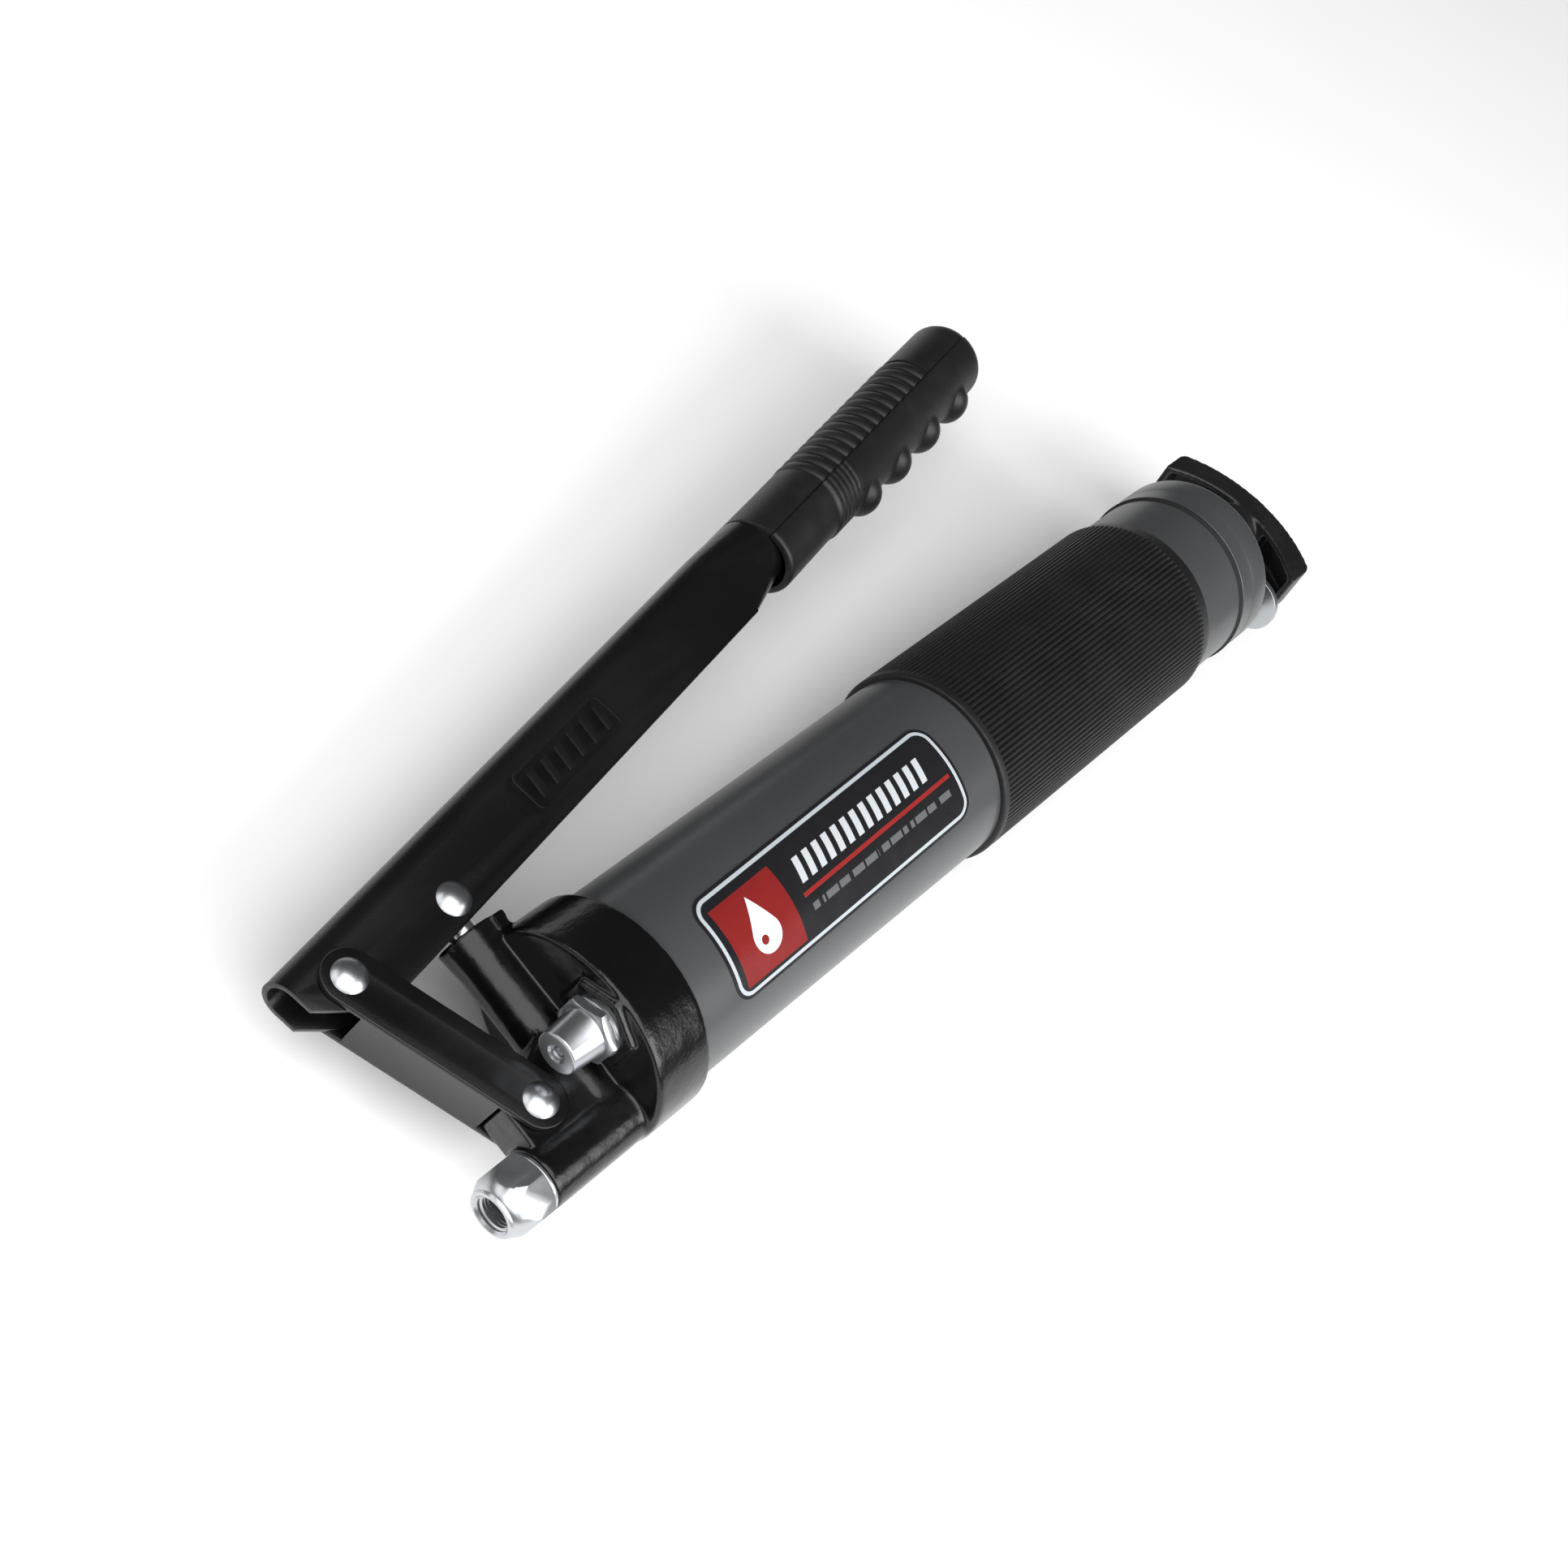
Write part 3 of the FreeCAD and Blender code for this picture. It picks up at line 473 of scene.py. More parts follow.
gripLook = {
    # mm, in the lever's own frame
    "start": 196.0, "end": 321.0, "radius": 12.9, "bore": 10.7, "plug": 13.0,
    "lip": ((0.0, -1.0), (0.3, -0.3)), "lipEnd": 1.1, "dome": 5.2, "domeSteps": 8,
    "ringsFrom": 225.4, "ringStep": 2.35, "rings": 6,
    "ringShape": ((0.0, -0.35), (0.35, 0.1), (1.0, 0.42), (1.5, 0.42), (2.05, 0.1)),
    "ridgesFrom": 225.6, "ridgeStep": 4.85, "ridges": 14, "ridgeDepth": 1.5, "ridgeRise": 0.1,
    "ridgeSteps": 12, "ridgeLead": 0.4, "ridgeTail": 0.5, "ridgeSink": 0.15, "crest": 0.5,
    "groove": (0.28, 0.7), "grooveShadePast": 0.5, "seam": 0.8, "inset": 0.25,
    "bumps": (245.8, 265.2, 284.6, 304.0), "bumpRadius": 7.2, "bumpRise": 3.6,
    "bumpShape": (0.86, 1.0, 1.15), "voxel": 0.45, "rounds": 5,
    "colour": (0.0058, 0.0058, 0.0062), "light": (0.0105, 0.0105, 0.011),
    # painted shade: the near-black painted into the grip's grooves
    "grooveShade": (0.0012, 0.0012, 0.0013),
}


def gripRubber():
    # painted shade: the grooves of the ridged side are painted near-black, for the shade that falls in them
    look = gripLook
    paint = Paint("gripRubber", Specular_IOR_Level=0.45)
    split = paint.node("ShaderNodeSeparateXYZ", {}, (paint.place,))
    toLever = leverPlace.inverted()
    along, aside = [(split * row[0] + split.part("Y") * row[1] + split.part("Z") * row[2] + row[3]) / mm
                    for row in (toLever[0], toLever[1])]
    first, step = look["ridgesFrom"], look["ridgeStep"]
    ridged = (aside.above(look["seam"]) * along.above(first - look["grooveShadePast"])
              * along.below(first + look["ridges"] * step + look["grooveShadePast"]))
    fromGroove = ((along - first + step / 2).wrap(step) - step / 2).size()
    groove = ridged * paint.ramp(fromGroove, *look["groove"], 1.0, 0.0)
    skin = paint.noise(0.35, 4, 0.7)
    dust = paint.noise(11, 5, 0.65)
    tint = paint.blend(paint.ramp(dust + skin * 0.2, 0.5, 0.85), look["colour"], look["light"])
    # painted shade: the grooves are blended towards near-black
    tint = paint.blend(groove, tint, look["grooveShade"])
    paint.rough(skin, 0.04, 0.7)
    return paint.surface(Base_Color=tint, Roughness=0.36 + dust * 0.16 + skin * 0.08 + groove * 0.45)


def blackPlastic():
    look = {"colour": (0.0065, 0.0065, 0.007), "light": (0.012, 0.012, 0.013), "gloss": 0.33}
    paint = Paint("blackPlastic", Specular_IOR_Level=0.5)
    grain = paint.node("ShaderNodeTexVoronoi", {}, {"Vector": paint.place, "Scale": 1 / (0.45 * mm)})
    scuff = paint.noise(9, 5, 0.65)
    colour = paint.blend(paint.ramp(scuff, 0.45, 0.75), look["colour"], look["light"])
    paint.rough(grain + paint.noise(0.2, 2) * 0.4, 0.045, 0.5)
    return paint.surface(Base_Color=colour, Roughness=look["gloss"] + scuff * 0.2)


labelLook = {
    # mm, as it lies flat: x from its middle towards the sleeve, down from its middle
    "length": 102.0, "height": 30.7, "corner": 5.8, "cornerSteps": 10, "strips": 36,
    "skew": 1.4,                                                   # degrees, front end down
    "film": 0.22, "lift": 0.01, "line": (1.0, 2.1),
    "panel": (4.2, 28.2), "panelTop": -10.6, "panelLow": 12.2,
    "barsFrom": -17.0, "barsTo": 41.0, "barStep": 4.15, "barWidth": 2.3,
    "barSlant": 0.22, "barsTop": -8.0, "barsLow": -1.1,
    "stripe": (1.0, 2.2), "stripeFrom": -18.4, "stripeTo": 47.3,
    "row": (4.7, 6.7), "rowFrom": -17.5, "rowTo": 45.0,
    "wordStep": 13.1, "word": 11.6, "dashStep": 5.7, "dash": 4.9,
    "ball": 5.0, "ballDown": 3.2, "tip": -8.0, "flare": 0.5, "coneLow": 1.2,
    "gleam": 1.3, "gleamLeft": 1.5, "gleamDown": 0.8,
}


def labelFilm():
    look = labelLook
    paint = Paint("labelFilm", Coat_Roughness=0.05, Coat_Weight=0.6)
    low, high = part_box("label")
    split = paint.node("ShaderNodeSeparateXYZ", {}, (paint.place,))
    angle = paint.node("ShaderNodeMath", {"operation": "ARCTAN2"},
                       (split.part("Z") - axisZ, split.part("Y") - axisY))
    run = (split - (low.x + high.x) / 2) / mm
    fall = (angle - labelTurn()) * (tubeRadius / mm)
    skew = math.radians(look["skew"])
    x = run * math.cos(skew) - fall * math.sin(skew)
    down = run * math.sin(skew) + fall * math.cos(skew)

    def box(width, height, corner, overX, overDown):
        # distance outside a rounded box, in mm: negative within
        across = overX.size() - (width / 2 - corner)
        along = overDown.size() - (height / 2 - corner)
        outside = (across.most(0) ** 2 + along.most(0) ** 2) ** 0.5
        return outside + across.most(along).least(0) - corner

    edge = box(look["length"], look["height"], look["corner"], x, down)
    outline = edge.below(-look["line"][0]) * edge.above(-look["line"][1])
    left = -look["length"] / 2
    panel = (x.above(left + look["panel"][0]) * x.below(left + look["panel"][1])
             * down.above(look["panelTop"]) * down.below(look["panelLow"]))
    stripe = (down.above(look["stripe"][0]) * down.below(look["stripe"][1])
              * x.above(look["stripeFrom"]) * x.below(look["stripeTo"]))
    slanted = x + down * look["barSlant"] - look["barsFrom"]
    bars = (slanted.wrap(look["barStep"]).below(look["barWidth"]) * slanted.above(0)
            * slanted.below(look["barsTo"] - look["barsFrom"])
            * down.above(look["barsTop"]) * down.below(look["barsLow"]))
    rows = (x.wrap(look["wordStep"]).below(look["word"]) * x.wrap(look["dashStep"]).below(look["dash"])
            * down.above(look["row"][0]) * down.below(look["row"][1])
            * x.above(look["rowFrom"]) * x.below(look["rowTo"]))
    dropX = x - (left + (look["panel"][0] + look["panel"][1]) / 2)
    ball = (dropX ** 2 + (down - look["ballDown"]) ** 2).below(look["ball"] ** 2)
    cone = (dropX.size().below((down - look["tip"]) * look["flare"])
            * down.below(look["coneLow"]) * down.above(look["tip"]))
    gleam = ((dropX + look["gleamLeft"]) ** 2
             + (down - look["ballDown"] - look["gleamDown"]) ** 2).below(look["gleam"] ** 2)
    drop = ball.most(cone) * (1 - gleam)

    ink = paint.noise(8, 4, 0.6)
    black = paint.blend(ink, (0.0075, 0.0075, 0.009), (0.012, 0.012, 0.014))
    red = paint.blend(ink, (0.19, 0.011, 0.011), (0.235, 0.015, 0.014))
    colour = paint.blend(panel, black, red)
    colour = paint.blend(stripe, colour, (0.27, 0.018, 0.017))
    colour = paint.blend(rows, colour, (0.12, 0.122, 0.13))
    colour = paint.blend(bars, colour, (0.54, 0.57, 0.60))
    colour = paint.blend(outline, colour, (0.48, 0.52, 0.55))
    colour = paint.blend(drop * panel, colour, (0.82, 0.82, 0.82))
    printed = outline.most(bars).most(panel).most(stripe)
    paint.rough(printed * 0.4 + paint.noise(1.2, 2) * 0.5, 0.02, 0.35)
    return paint.surface(Base_Color=colour, Roughness=0.2 + ink * 0.12)


def labelTurn():
    # angle of the label's middle about the barrel, from +Y towards +Z
    low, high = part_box("label")
    half = labelLook["height"] / 2 * mm / tubeRadius
    return math.acos((low.y - axisY) / (tubeRadius + 0.25 * mm)) - half


paints = {
    "casting_paint": castingPaint(), "stamping_paint": stampingPaint(), "barrel_paint": barrelPaint(),
    "zinc": zincPlate(), "bright_steel": groundSteel(), "spring_steel": springSteel(),
    "black_rubber": blackRubber(),
    "seal_rubber": blackRubber("sealRubber", (0.010, 0.010, 0.010), 0.34, 0.02),
    "black_plastic": blackPlastic(), "label_film": labelFilm(),
}
for row in frame["record"]["subparts"]:
    skin = frame["nodes"][row["node"]].data.materials
    skin.clear()
    skin.append(paints[row["material_slot"]])
print("materials made:", len(paints))


# ---- barrel, sleeve, label and end cap ----

def barrelTube():
    look = {"edge": 0.3, "bead": 0.8, "rise": 1.1, "fall": 0.9, "beadBack": 13.5, "wall": 1.5, "steps": 8}
    low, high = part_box("barrel")
    beadX = high.x - look["beadBack"] * mm
    stations = [(low.x, tubeRadius - look["edge"] * mm), (low.x + look["edge"] * mm, tubeRadius)]
    for step in range(look["steps"] + 1):
        share = step / look["steps"]
        stations.append((beadX - look["rise"] * (1 - share) * mm,
                         tubeRadius + look["bead"] * mm * (1 - math.cos(math.pi * share)) / 2))
    for step in range(1, look["steps"] + 1):
        turn = quarter * step / look["steps"]
        stations.append((beadX + look["fall"] * math.sin(turn) * mm,
                         tubeRadius + look["bead"] * math.cos(turn) * mm))
    bore = tubeRadius - look["wall"] * mm
    stations += [(high.x, tubeRadius), (high.x, bore), (low.x, bore)]
    piece = turned("barrelTube", stations, 160)
    return finish(done(piece), "barrelTube", "barrel", "barrel_paint", paints["barrel_paint"], "barrel")


def barrelSleeve():
    look = {"ribs": 112, "groove": 0.7, "edge": 0.7, "rearTaper": 5.0, "rearStep": 1.0, "rearEdge": 0.5,
            "lip": 2.2, "frontRun": 1.4, "rearRun": 2.2, "clear": 0.3, "fit": 0.02}
    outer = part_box("barrel_sleeve")[1].z - axisZ
    lip, edge, bore = look["lip"] * mm, look["edge"] * mm, tubeRadius + look["fit"] * mm
    rear = sleeveRear - look["rearTaper"] * mm
    stations = rounding(sleeveFront, outer, edge, "out", 3)
    stations += [(sleeveFront + lip, outer), (sleeveFront + lip + look["frontRun"] * mm, outer)]
    stations += [(rear - look["rearRun"] * mm, outer), (rear, outer)]
    stations += rounding(sleeveRear, outer - look["rearStep"] * mm, look["rearEdge"] * mm, "in", 3)
    stations += [(sleeveRear, bore), (sleeveFront, bore)]
    sides = look["ribs"] * 3
    piece = turned("barrelSleeve", stations, sides)
    edit(piece, "VERT")
    step, clear = 2 * math.pi / sides, look["clear"] * mm

    def inGroove(vertex):
        if not sleeveFront + lip + clear < vertex.co.x < rear - clear:
            return False
        y, z = vertex.co.y - axisY, vertex.co.z - axisZ
        if math.hypot(y, z) < (outer + bore) / 2:
            return False
        return round(math.atan2(z, y) / step) % 3 == 0

    pick(piece, inGroove, "VERT")
    share = (outer - look["groove"] * mm) / outer
    bpy.ops.transform.resize(value=(1, share, share), center_override=(sleeveFront, axisY, axisZ))
    bpy.ops.object.mode_set(mode="OBJECT")
    return finish(done(piece, 30), "barrelSleeve", "barrel", "black_rubber", paints["black_rubber"],
                  "barrel_sleeve")


def barrelLabel():
    look = labelLook
    low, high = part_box("label")
    radius = tubeRadius + look["lift"] * mm
    clearAll()
    bpy.ops.mesh.primitive_plane_add(size=1)
    piece = bpy.context.object
    piece.scale = (look["length"] * mm, look["height"] * mm, 1)
    settle(piece)
    edit(piece, "VERT")
    bpy.ops.mesh.select_all(action="SELECT")
    bpy.ops.mesh.bevel(offset=look["corner"] * mm, segments=look["cornerSteps"], affect="VERTICES")
    for strip in range(1, look["strips"]):
        down = (strip / look["strips"] - 0.5) * look["height"] * mm
        bpy.ops.mesh.select_all(action="SELECT")
        bpy.ops.mesh.bisect(plane_co=(0, down, 0), plane_no=(0, 1, 0))
    bpy.ops.object.mode_set(mode="OBJECT")
    turn = labelTurn()
    piece.data.transform(Matrix.Rotation(-math.radians(look["skew"]), 4, "Z"))
    for vertex in piece.data.vertices:
        angle = turn + vertex.co.y / tubeRadius
        vertex.co = ((low.x + high.x) / 2 + vertex.co.x,
                     axisY + radius * math.cos(angle), axisZ + radius * math.sin(angle))
    edit(piece)
    bpy.ops.mesh.select_all(action="SELECT")
    bpy.ops.mesh.normals_make_consistent(inside=False)
    bpy.ops.object.mode_set(mode="OBJECT")
    facing = piece.data.polygons[len(piece.data.polygons) // 2]
    outward = facing.normal.dot(Vector((0, facing.center.y - axisY, facing.center.z - axisZ))) > 0
    modify(piece, "SOLIDIFY", thickness=look["film"] * mm, offset=1 if outward else -1)
    return finish(done(piece, 40), "barrelLabel", "barrel", "label_film", paints["label_film"], "label")


def endCap():
    # the skirt is turned anew, with a rolled front lip and a raised rear band; the hub is kept
    look = {"hub": 11.2, "hubLength": 15.5, "hubLap": 0.4, "hubEdge": 0.3, "fit": 0.03,
            "lip": (0.25, 0.4), "band": 6.4, "bandFoot": (1.1, 0.22), "bandKnee": (0.4, 0.12),
            "edge": 1.5, "floor": 2.2}
    low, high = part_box("end_cap")
    skirt, bore = (high.z - low.z) / 2, tubeRadius + look["fit"] * mm
    front, bandX = low.x, low.x + look["band"] * mm
    floorX, inner = high.x - look["hubLength"] * mm, (look["hub"] - look["hubLap"]) * mm
    stations = [(front, bore), (front, tubeRadius + look["lip"][0] * mm),
                (front + look["lip"][0] * mm, tubeRadius + look["lip"][1] * mm)]
    stations += [(bandX - run * mm, skirt - drop * mm) for run, drop in (look["bandFoot"], look["bandKnee"])]
    stations.append((bandX, skirt))
    stations += rounding(floorX, skirt, look["edge"] * mm, "in", 7)
    stations += [(floorX, inner), (floorX - look["floor"] * mm, inner), (floorX - look["floor"] * mm, bore)]
    piece = turned("endCap", stations, 160)
    hub = copyOf("end_cap")
    edit(hub)

    def pastHub(face):
        place = face.calc_center_median()
        return math.hypot(place.y - axisY, place.z - axisZ) > look["hub"] * mm

    pick(hub, pastHub)
    bpy.ops.mesh.delete(type="FACE")
    bpy.ops.object.mode_set(mode="OBJECT")
    softEdges(hub, look["hubEdge"], 25, 3)
    piece = join(piece, hub)
    return finish(done(piece, 30), "endCap", "barrel", "barrel_paint", paints["barrel_paint"], "end_cap")


barrelTube()
barrelSleeve()
barrelLabel()
endCap()
print("barrel built")


# ---- head and fittings ----

def headCasting():
    look = {"voxel": 0.52, "rounds": 14}
    piece = remesh(copyOf("head_casting"), look["voxel"], look["rounds"])
    return finish(piece, "headCasting", "head", "casting_paint", paints["casting_paint"], "head_casting")


def outletAdapter():
    look = {"hex": 17.0, "end": 13.1, "back": 0.8, "stub": 4.9, "stubLap": 1, "passage": 2.4, "root": 5.0,
            "depth": 11.0, "mouth": 5.75, "mouthDepth": 0.75, "over": 0.02, "edge": 0.12,
            "taper": ((0.0, 6.35), (0.12, 6.6), (0.35, 6.75), (0.8, 6.95), (1.0, 6.8), (1.25, 7.1),
                      (2.0, 7.62), (3.0, 8.2), (4.2, 8.72), (5.6, 9.2), (7.0, 9.62), (8.2, 9.9)),
            "pitch": 1.0, "turns": 9, "ridge": 0.62, "ridgeStart": 0.95, "ridgeSink": 0.06, "sides": 48}
    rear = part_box("outlet_adapter")[1].x / mm
    end, stub, passage, root, over = look["end"], look["stub"], look["passage"], look["root"], look["over"]
    corner = look["hex"] / math.sqrt(3)
    outline = [(-over, look["mouth"]), (-over, look["taper"][0][1]), *look["taper"],
               (end - look["back"], corner + 0.05), (end + over, corner - look["back"] * 1.2),
               (end + over, stub), (rear, stub), (rear, passage), (look["depth"], passage),
               (look["depth"], root), (look["mouthDepth"], root)]
    piece = hexBar("outletAdapter", 0, end * mm, look["hex"] * mm, 0, 0, metres(outline))
    lap = end - look["stubLap"]
    tail = turned("outletStub", metres(((lap, passage), (lap, stub), (rear, stub), (rear, passage))),
                  look["sides"], True, 0, 0)
    smallEdges(piece, look["edge"])
    clearAll()
    bpy.ops.mesh.primitive_circle_add(vertices=3, radius=look["ridge"] * mm, rotation=(0, 0, math.pi),
                                      location=(look["ridgeStart"] * mm, (root + look["ridgeSink"]) * mm, 0))
    thread = settle(bpy.context.object)
    modify(thread, "SCREW", axis="X", screw_offset=look["pitch"] * mm, iterations=look["turns"],
           steps=look["sides"], render_steps=look["sides"], use_normal_calculate=True)
    edit(thread, "EDGE")
    pick(thread, lambda edge: edge.is_boundary, "EDGE")
    bpy.ops.mesh.edge_face_add()
    bpy.ops.mesh.select_all(action="SELECT")
    bpy.ops.mesh.normals_make_consistent(inside=False)
    bpy.ops.object.mode_set(mode="OBJECT")
    piece = join(piece, tail, thread)
    return finish(done(piece, 32), "outletAdapter", "head", "zinc", paints["zinc"], "outlet_adapter")


def outletWasher():
    look = {"edge": 0.4, "inner": 4.95}
    low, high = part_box("outlet_washer")
    radius = (high.z - low.z) / 2
    edge = look["edge"] * mm
    stations = rounding(low.x, radius, edge, "out", 4) + rounding(high.x, radius, edge, "in", 4)
    stations += [(high.x, look["inner"] * mm), (low.x, look["inner"] * mm)]
    piece = turned("outletWasher", stations, 96, True, 0, 0)
    return finish(done(piece), "outletWasher", "head", "zinc", paints["zinc"], "outlet_washer")


def fillerValve():
    look = {"nose": 6.0, "edge": 0.7, "base": 6.8, "baseRise": 0.25, "baseRun": 0.3, "noseLength": 9.7,
            "hexLength": 2.7, "hex": 16.2, "front": 1.3, "frontRun": 0.55, "back": 0.6, "hexEdge": 0.12,
            "collar": 8.6, "collarLength": 1.1, "collarEdge": 0.15, "play": 0.05,
            "mouth": 2.75, "mouthEdge": 0.1, "throat": 2.15, "throatFrom": 0.5, "throatTo": 1.2,
            "seat": 1.6, "seatFrom": 1.25, "seatTo": 3, "chamber": 3.0, "stub": 4.9, "endWall": 2.0,
            "endHole": 0.3}
    low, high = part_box("filler_valve_body")
    y, z = (low.y + high.y) / 2, (low.z + high.z) / 2
    x, rear = low.x / mm, high.x / mm
    hexStart = x + look["noseLength"]
    hexEnd = hexStart + look["hexLength"]
    collarEnd = hexEnd + look["collarLength"] - look["play"]
    base, collar, endHole = look["base"] + look["baseRise"], look["collar"], look["seat"] + look["endHole"]
    nose = rounding(low.x, look["nose"] * mm, look["edge"] * mm, "out", 6)
    stations = [(x + look["seatFrom"], look["seat"]), (x + look["throatTo"], look["throat"]),
                (x + look["throatFrom"], look["throat"]),
                (x + look["mouthEdge"], look["mouth"] - look["mouthEdge"]), (x, look["mouth"])]
    stations += [(along / mm, radius / mm) for along, radius in nose]
    stations += [(hexStart - look["baseRun"], look["base"]), (hexStart + look["baseRun"], base),
                 (hexEnd, base), (hexEnd, collar - look["collarEdge"]),
                 (hexEnd + look["collarEdge"], collar), (collarEnd, collar),
                 (collarEnd, look["stub"]), (rear, look["stub"]), (rear, endHole),
                 (rear - look["endWall"], endHole), (rear - look["endWall"], look["chamber"]),
                 (x + look["seatTo"], look["chamber"]), (x + look["seatTo"], look["seat"])]
    piece = turned("fillerValve", metres(stations), 96, True, y, z)
    bar = hexHead("fillerHex", hexStart, hexEnd, look["hex"], y, z, look["nose"], look["front"], look["back"],
                  look["frontRun"], look["hexEdge"])
    return finish(done(join(piece, bar), 32), "fillerValve", "head", "zinc", paints["zinc"],
                  "filler_valve_body")


def bleederBody():
    look = {"hex": 11.0, "bore": 1.6, "boreEdge": 0.5, "stub": 3.5, "stubLength": 6.0, "face": 4.7,
            "faceEdge": 0.3, "step": 0.45, "front": 0.9, "frontRun": 0.6, "back": 0.5, "hexEdge": 0.1}
    low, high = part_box("bleeder_body")
    y, z = (low.y + high.y) / 2, (low.z + high.z) / 2
    x, rear = low.x / mm, high.x / mm
    hexStart, hexEnd = x + look["step"], rear - look["stubLength"]
    face, bore, stub = look["face"], look["bore"], look["stub"]
    piece = turned("bleederBody", metres((
        (x, bore + look["boreEdge"]), (x, face - look["faceEdge"]), (x + look["faceEdge"], face),
        (hexEnd, face), (hexEnd, stub), (rear, stub), (rear, bore), (x + look["boreEdge"], bore))),
        72, True, y, z)
    bar = hexHead("bleederHex", hexStart, hexEnd, look["hex"], y, z, stub, look["front"], look["back"],
                  look["frontRun"], look["hexEdge"])
    return finish(done(join(piece, bar), 32), "bleederBody", "head", "zinc", paints["zinc"], "bleeder_body")


headCasting()
outletAdapter()
outletWasher()
fillerValve()
bleederBody()
print("head built")


# ---- link, lever and grip ----

def linkStamping():
    piece = softEdges(copyOf("link"), 0.45, 30, 3)
    return finish(done(piece, 30), "linkStamping", "link", "stamping_paint", paints["stamping_paint"], "link")


def leverStamping():
    piece = softEdges(copyOf("lever"), 0.35, 35, 3, flat=2)
    return finish(done(piece, 30), "leverStamping", "lever", "stamping_paint", paints["stamping_paint"],
                  "lever")


def leverPlate():
    # a shallow raised frame with plain slanted bars, on the upper cheek of the lever
    look = {"run": 91.0, "rise": -0.5, "length": 39.0, "height": 12.5, "corner": 2.4, "line": 0.9,
            "bars": 6, "barsInset": 9, "barWidth": 2.6, "barHeight": 7.4, "lean": 1.6, "raise": 0.14,
            "edge": 0.09}
    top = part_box("lever")[1].z
    clearAll()
    bpy.ops.mesh.primitive_plane_add(size=1, location=(look["run"] * mm, look["rise"] * mm, top))
    border = bpy.context.object
    border.scale = (look["length"] * mm, look["height"] * mm, 1)
    settle(border)
    edit(border, "VERT")
    bpy.ops.mesh.select_all(action="SELECT")
    bpy.ops.mesh.bevel(offset=look["corner"] * mm, segments=6, affect="VERTICES")
    bpy.ops.mesh.select_mode(type="FACE")
    bpy.ops.mesh.select_all(action="SELECT")
    bpy.ops.mesh.inset(thickness=look["line"] * mm)
    bpy.ops.mesh.delete(type="FACE")
    bpy.ops.object.mode_set(mode="OBJECT")
    parts, gaps = [border], look["bars"] - 1
    for place in range(look["bars"]):
        run = look["run"] + (place - gaps / 2) * (look["length"] - look["barsInset"]) / gaps
        clearAll()
        bpy.ops.mesh.primitive_plane_add(size=1, location=(run * mm, look["rise"] * mm, top))
        bar = bpy.context.object
        bar.scale = (look["barWidth"] * mm, look["barHeight"] * mm, 1)
        settle(bar)
        edit(bar, "VERT")
        pick(bar, lambda vertex: vertex.co.y > look["rise"] * mm, "VERT")
        bpy.ops.transform.translate(value=(look["lean"] * mm, 0, 0))
        bpy.ops.object.mode_set(mode="OBJECT")
        parts.append(bar)
    piece = join(*parts)
    modify(piece, "SOLIDIFY", thickness=2 * look["raise"] * mm, offset=0)
    smallEdges(piece, look["edge"], 40, 40)
    piece.data.transform(leverPlace)
    return finish(piece, "leverPlate", "lever", "stamping_paint", paints["stamping_paint"])


def leverGrip():
    look = gripLook
    start, end, radius = look["start"], look["end"], look["radius"]

    def half(name, inset, waves, upper):
        # one side of the grip, turned whole and cut off at the seam
        stations = [(start + run, radius + rise) for run, rise in look["lip"]]
        stations += [(start + look["lipEnd"], radius - inset)] + waves
        for step in range(look["domeSteps"] + 1):
            turn = quarter * step / look["domeSteps"]
            stations.append((end - look["dome"] * (1 - math.sin(turn)),
                             radius - inset - look["dome"] * (1 - math.cos(turn))))
        piece = turned(name, metres(stations), 144, False, 0, 0)
        edit(piece, "EDGE")
        pick(piece, lambda edge: edge.is_boundary, "EDGE")
        bpy.ops.mesh.edge_face_add()
        bpy.ops.mesh.select_all(action="SELECT")
        bpy.ops.mesh.normals_make_consistent(inside=False)
        bpy.ops.mesh.bisect(plane_co=(0, look["seam"] * mm, 0), plane_no=(0, 1, 0), use_fill=True,
                            clear_inner=upper, clear_outer=not upper)
        bpy.ops.object.mode_set(mode="OBJECT")
        return piece

    first, root, sunk = look["ridgesFrom"], radius - look["ridgeDepth"], radius - look["ridgeSink"]
    ridges = [(first - look["ridgeLead"], sunk)]
    for step in range(look["ridges"] * look["ridgeSteps"] + 1):
        place, share = divmod(step / look["ridgeSteps"], 1)
        crest = math.sin(math.pi * share) ** look["crest"]
        ridges.append((first + (place + share) * look["ridgeStep"],
                       root + crest * (look["ridgeDepth"] + look["ridgeRise"])))
    ridges.append((ridges[-1][0] + look["ridgeTail"], sunk))
    rings = []
    for place in range(look["rings"]):
        ringX = look["ringsFrom"] + place * look["ringStep"]
        rings += [(ringX + run, radius + rise) for run, rise in look["ringShape"]]
    parts = [half("gripSmooth", 0.0, rings, False)]
    rise = radius + look["bumpRise"] - look["bumpRadius"]
    for run in look["bumps"]:
        clearAll()
        bpy.ops.mesh.primitive_uv_sphere_add(segments=48, ring_count=32, radius=look["bumpRadius"] * mm,
                                             location=(run * mm, -rise * mm, 0), scale=look["bumpShape"])
        parts.append(settle(bpy.context.object))
    smooth = join(*parts)
    remesh(smooth, look["voxel"], look["rounds"])
    ridged = half("gripRidges", look["inset"], ridges, True)
    depth = end - look["plug"] - start + 1
    for side in (smooth, ridged):
        clearAll()
        bpy.ops.mesh.primitive_cylinder_add(vertices=96, radius=look["bore"] * mm, depth=depth * mm,
                                            location=((start - 1 + depth / 2) * mm, 0, 0),
                                            rotation=(0, quarter, 0))
        boolean(side, settle(bpy.context.object), "DIFFERENCE")
    piece = join(smooth, ridged)
    piece.data.transform(leverPlace)
    return finish(done(piece, 60), "leverGrip", "lever", "black_rubber", gripRubber(), "lever_grip")


linkStamping()
leverStamping()
leverPlate()
leverGrip()
print("lever built")


# ---- T-handle and latch ----

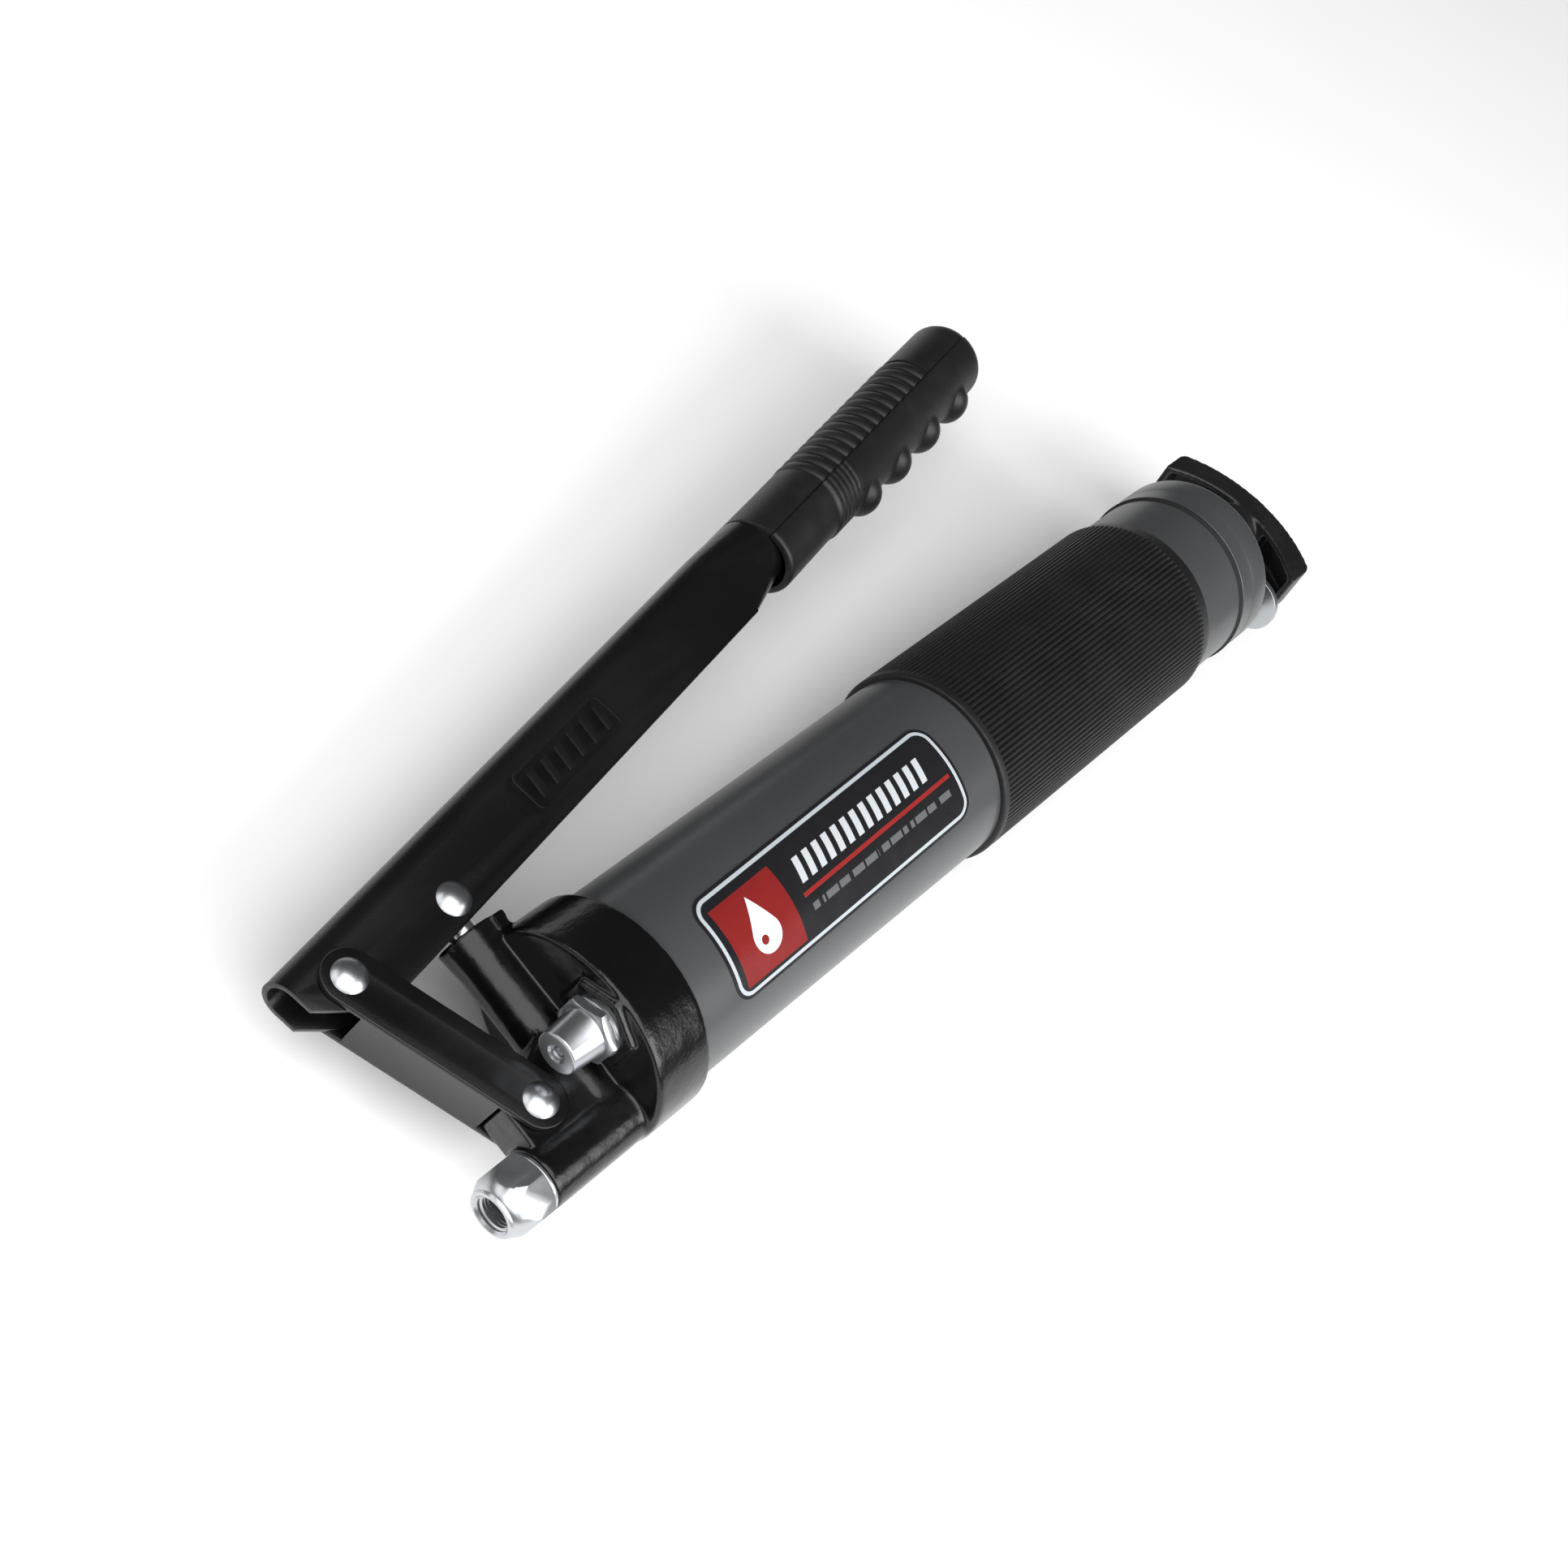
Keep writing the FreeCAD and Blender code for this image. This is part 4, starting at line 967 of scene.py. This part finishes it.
def teeHandle():
    look = {"voxel": 0.45, "rounds": 16, "turn": -10.0, "tip": 27.5, "side": 10.0, "tipRound": 1.6}
    piece = copyOf("t_handle")
    edit(piece)
    bpy.ops.mesh.select_all(action="SELECT")
    bpy.ops.mesh.dissolve_limited(angle_limit=math.radians(3))
    turn = math.radians(look["turn"])
    reach = Vector((0, math.cos(turn), math.sin(turn)))
    across = Vector((0, -math.sin(turn), math.cos(turn)))

    def tipCorner(edge):
        # the upright edges at the two tips
        ends = [vertex.co - Vector((0, axisY, axisZ)) for vertex in edge.verts]
        return (all(abs(end.dot(reach)) > look["tip"] * mm for end in ends)
                and abs((ends[0] - ends[1]).dot(across)) > look["side"] * mm)

    pick(piece, tipCorner, "EDGE")
    bpy.ops.mesh.bevel(offset=look["tipRound"] * mm, segments=5, clamp_overlap=False)
    bpy.ops.object.mode_set(mode="OBJECT")
    remesh(piece, look["voxel"], look["rounds"])
    return finish(piece, "teeHandle", "rod", "black_plastic", paints["black_plastic"], "t_handle")


def rodLatch():
    piece = softEdges(copyOf("rod_latch"), 0.35, 30, 3)
    return finish(done(piece, 30), "rodLatch", "rod_latch", "zinc", paints["zinc"], "rod_latch")


teeHandle()
rodLatch()
print("handle built")


# ---- floor, lights and camera ----

def studio():
    look = {"floor": 4.0, "middle": 0.2, "below": 0.0002, "sky": 0.09, "target": (0.18, 0.04, 0.0),
            "shade": (0.90, 0.90, 0.90), "light": (0.93, 0.93, 0.93)}
    clearAll()
    bpy.ops.mesh.primitive_plane_add(size=look["floor"],
                                     location=(look["middle"], 0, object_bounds()[0][2] - look["below"]))
    floor = settle(bpy.context.object)
    floor.name = "floor"
    paint = Paint("paleFloor", Specular_IOR_Level=0.1)
    shade = paint.noise(120, 3)
    floor.data.materials.append(paint.surface(
        Base_Color=paint.blend(shade, look["shade"], look["light"]), Roughness=0.85 + shade * 0.1))
    floor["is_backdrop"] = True
    world = bpy.data.worlds.new("studio")
    bpy.context.scene.world = world
    world.use_nodes = True
    world.node_tree.nodes["Background"].inputs["Color"].default_value = (1, 1, 1, 1)
    world.node_tree.nodes["Background"].inputs["Strength"].default_value = look["sky"]
    lamps = (
        # name, place, width, height, power
        ("above", (-0.45, -0.20, 1.25), 1.7, 1.7, 28.0),
        ("left", (-0.75, 1.10, 0.85), 1.2, 0.7, 5.0),
        ("right", (0.25, -1.30, 0.85), 1.4, 0.9, 23.0),
    )
    target = Vector(look["target"])
    for name, place, width, height, power in lamps:
        lamp = bpy.data.lights.new(name, "AREA")
        lamp.shape = "RECTANGLE"
        lamp.size, lamp.size_y, lamp.energy = width, height, power
        holder = bpy.data.objects.new(name, lamp)
        holder.location = place
        holder.rotation_euler = (target - Vector(place)).to_track_quat("-Z", "Y").to_euler()
        bpy.context.scene.collection.objects.link(holder)
    bpy.context.scene.view_settings.view_transform = "Standard"


def camera():
    look = {"place": (-0.2668, 0.0063, 0.5038), "turn": (29.41, -28.30, -45.14), "lens": 54.27,
            "sensor": 36, "near": 0.01, "far": 20}
    data = bpy.data.cameras.new("camera")
    data.lens, data.sensor_width = look["lens"], look["sensor"]
    data.clip_start, data.clip_end = look["near"], look["far"]
    holder = bpy.data.objects.new("camera", data)
    holder.location = look["place"]
    holder.rotation_euler = [math.radians(angle) for angle in look["turn"]]
    bpy.context.scene.collection.objects.link(holder)
    bpy.context.scene.camera = holder


studio()
camera()
clearAll()
print("studio built")
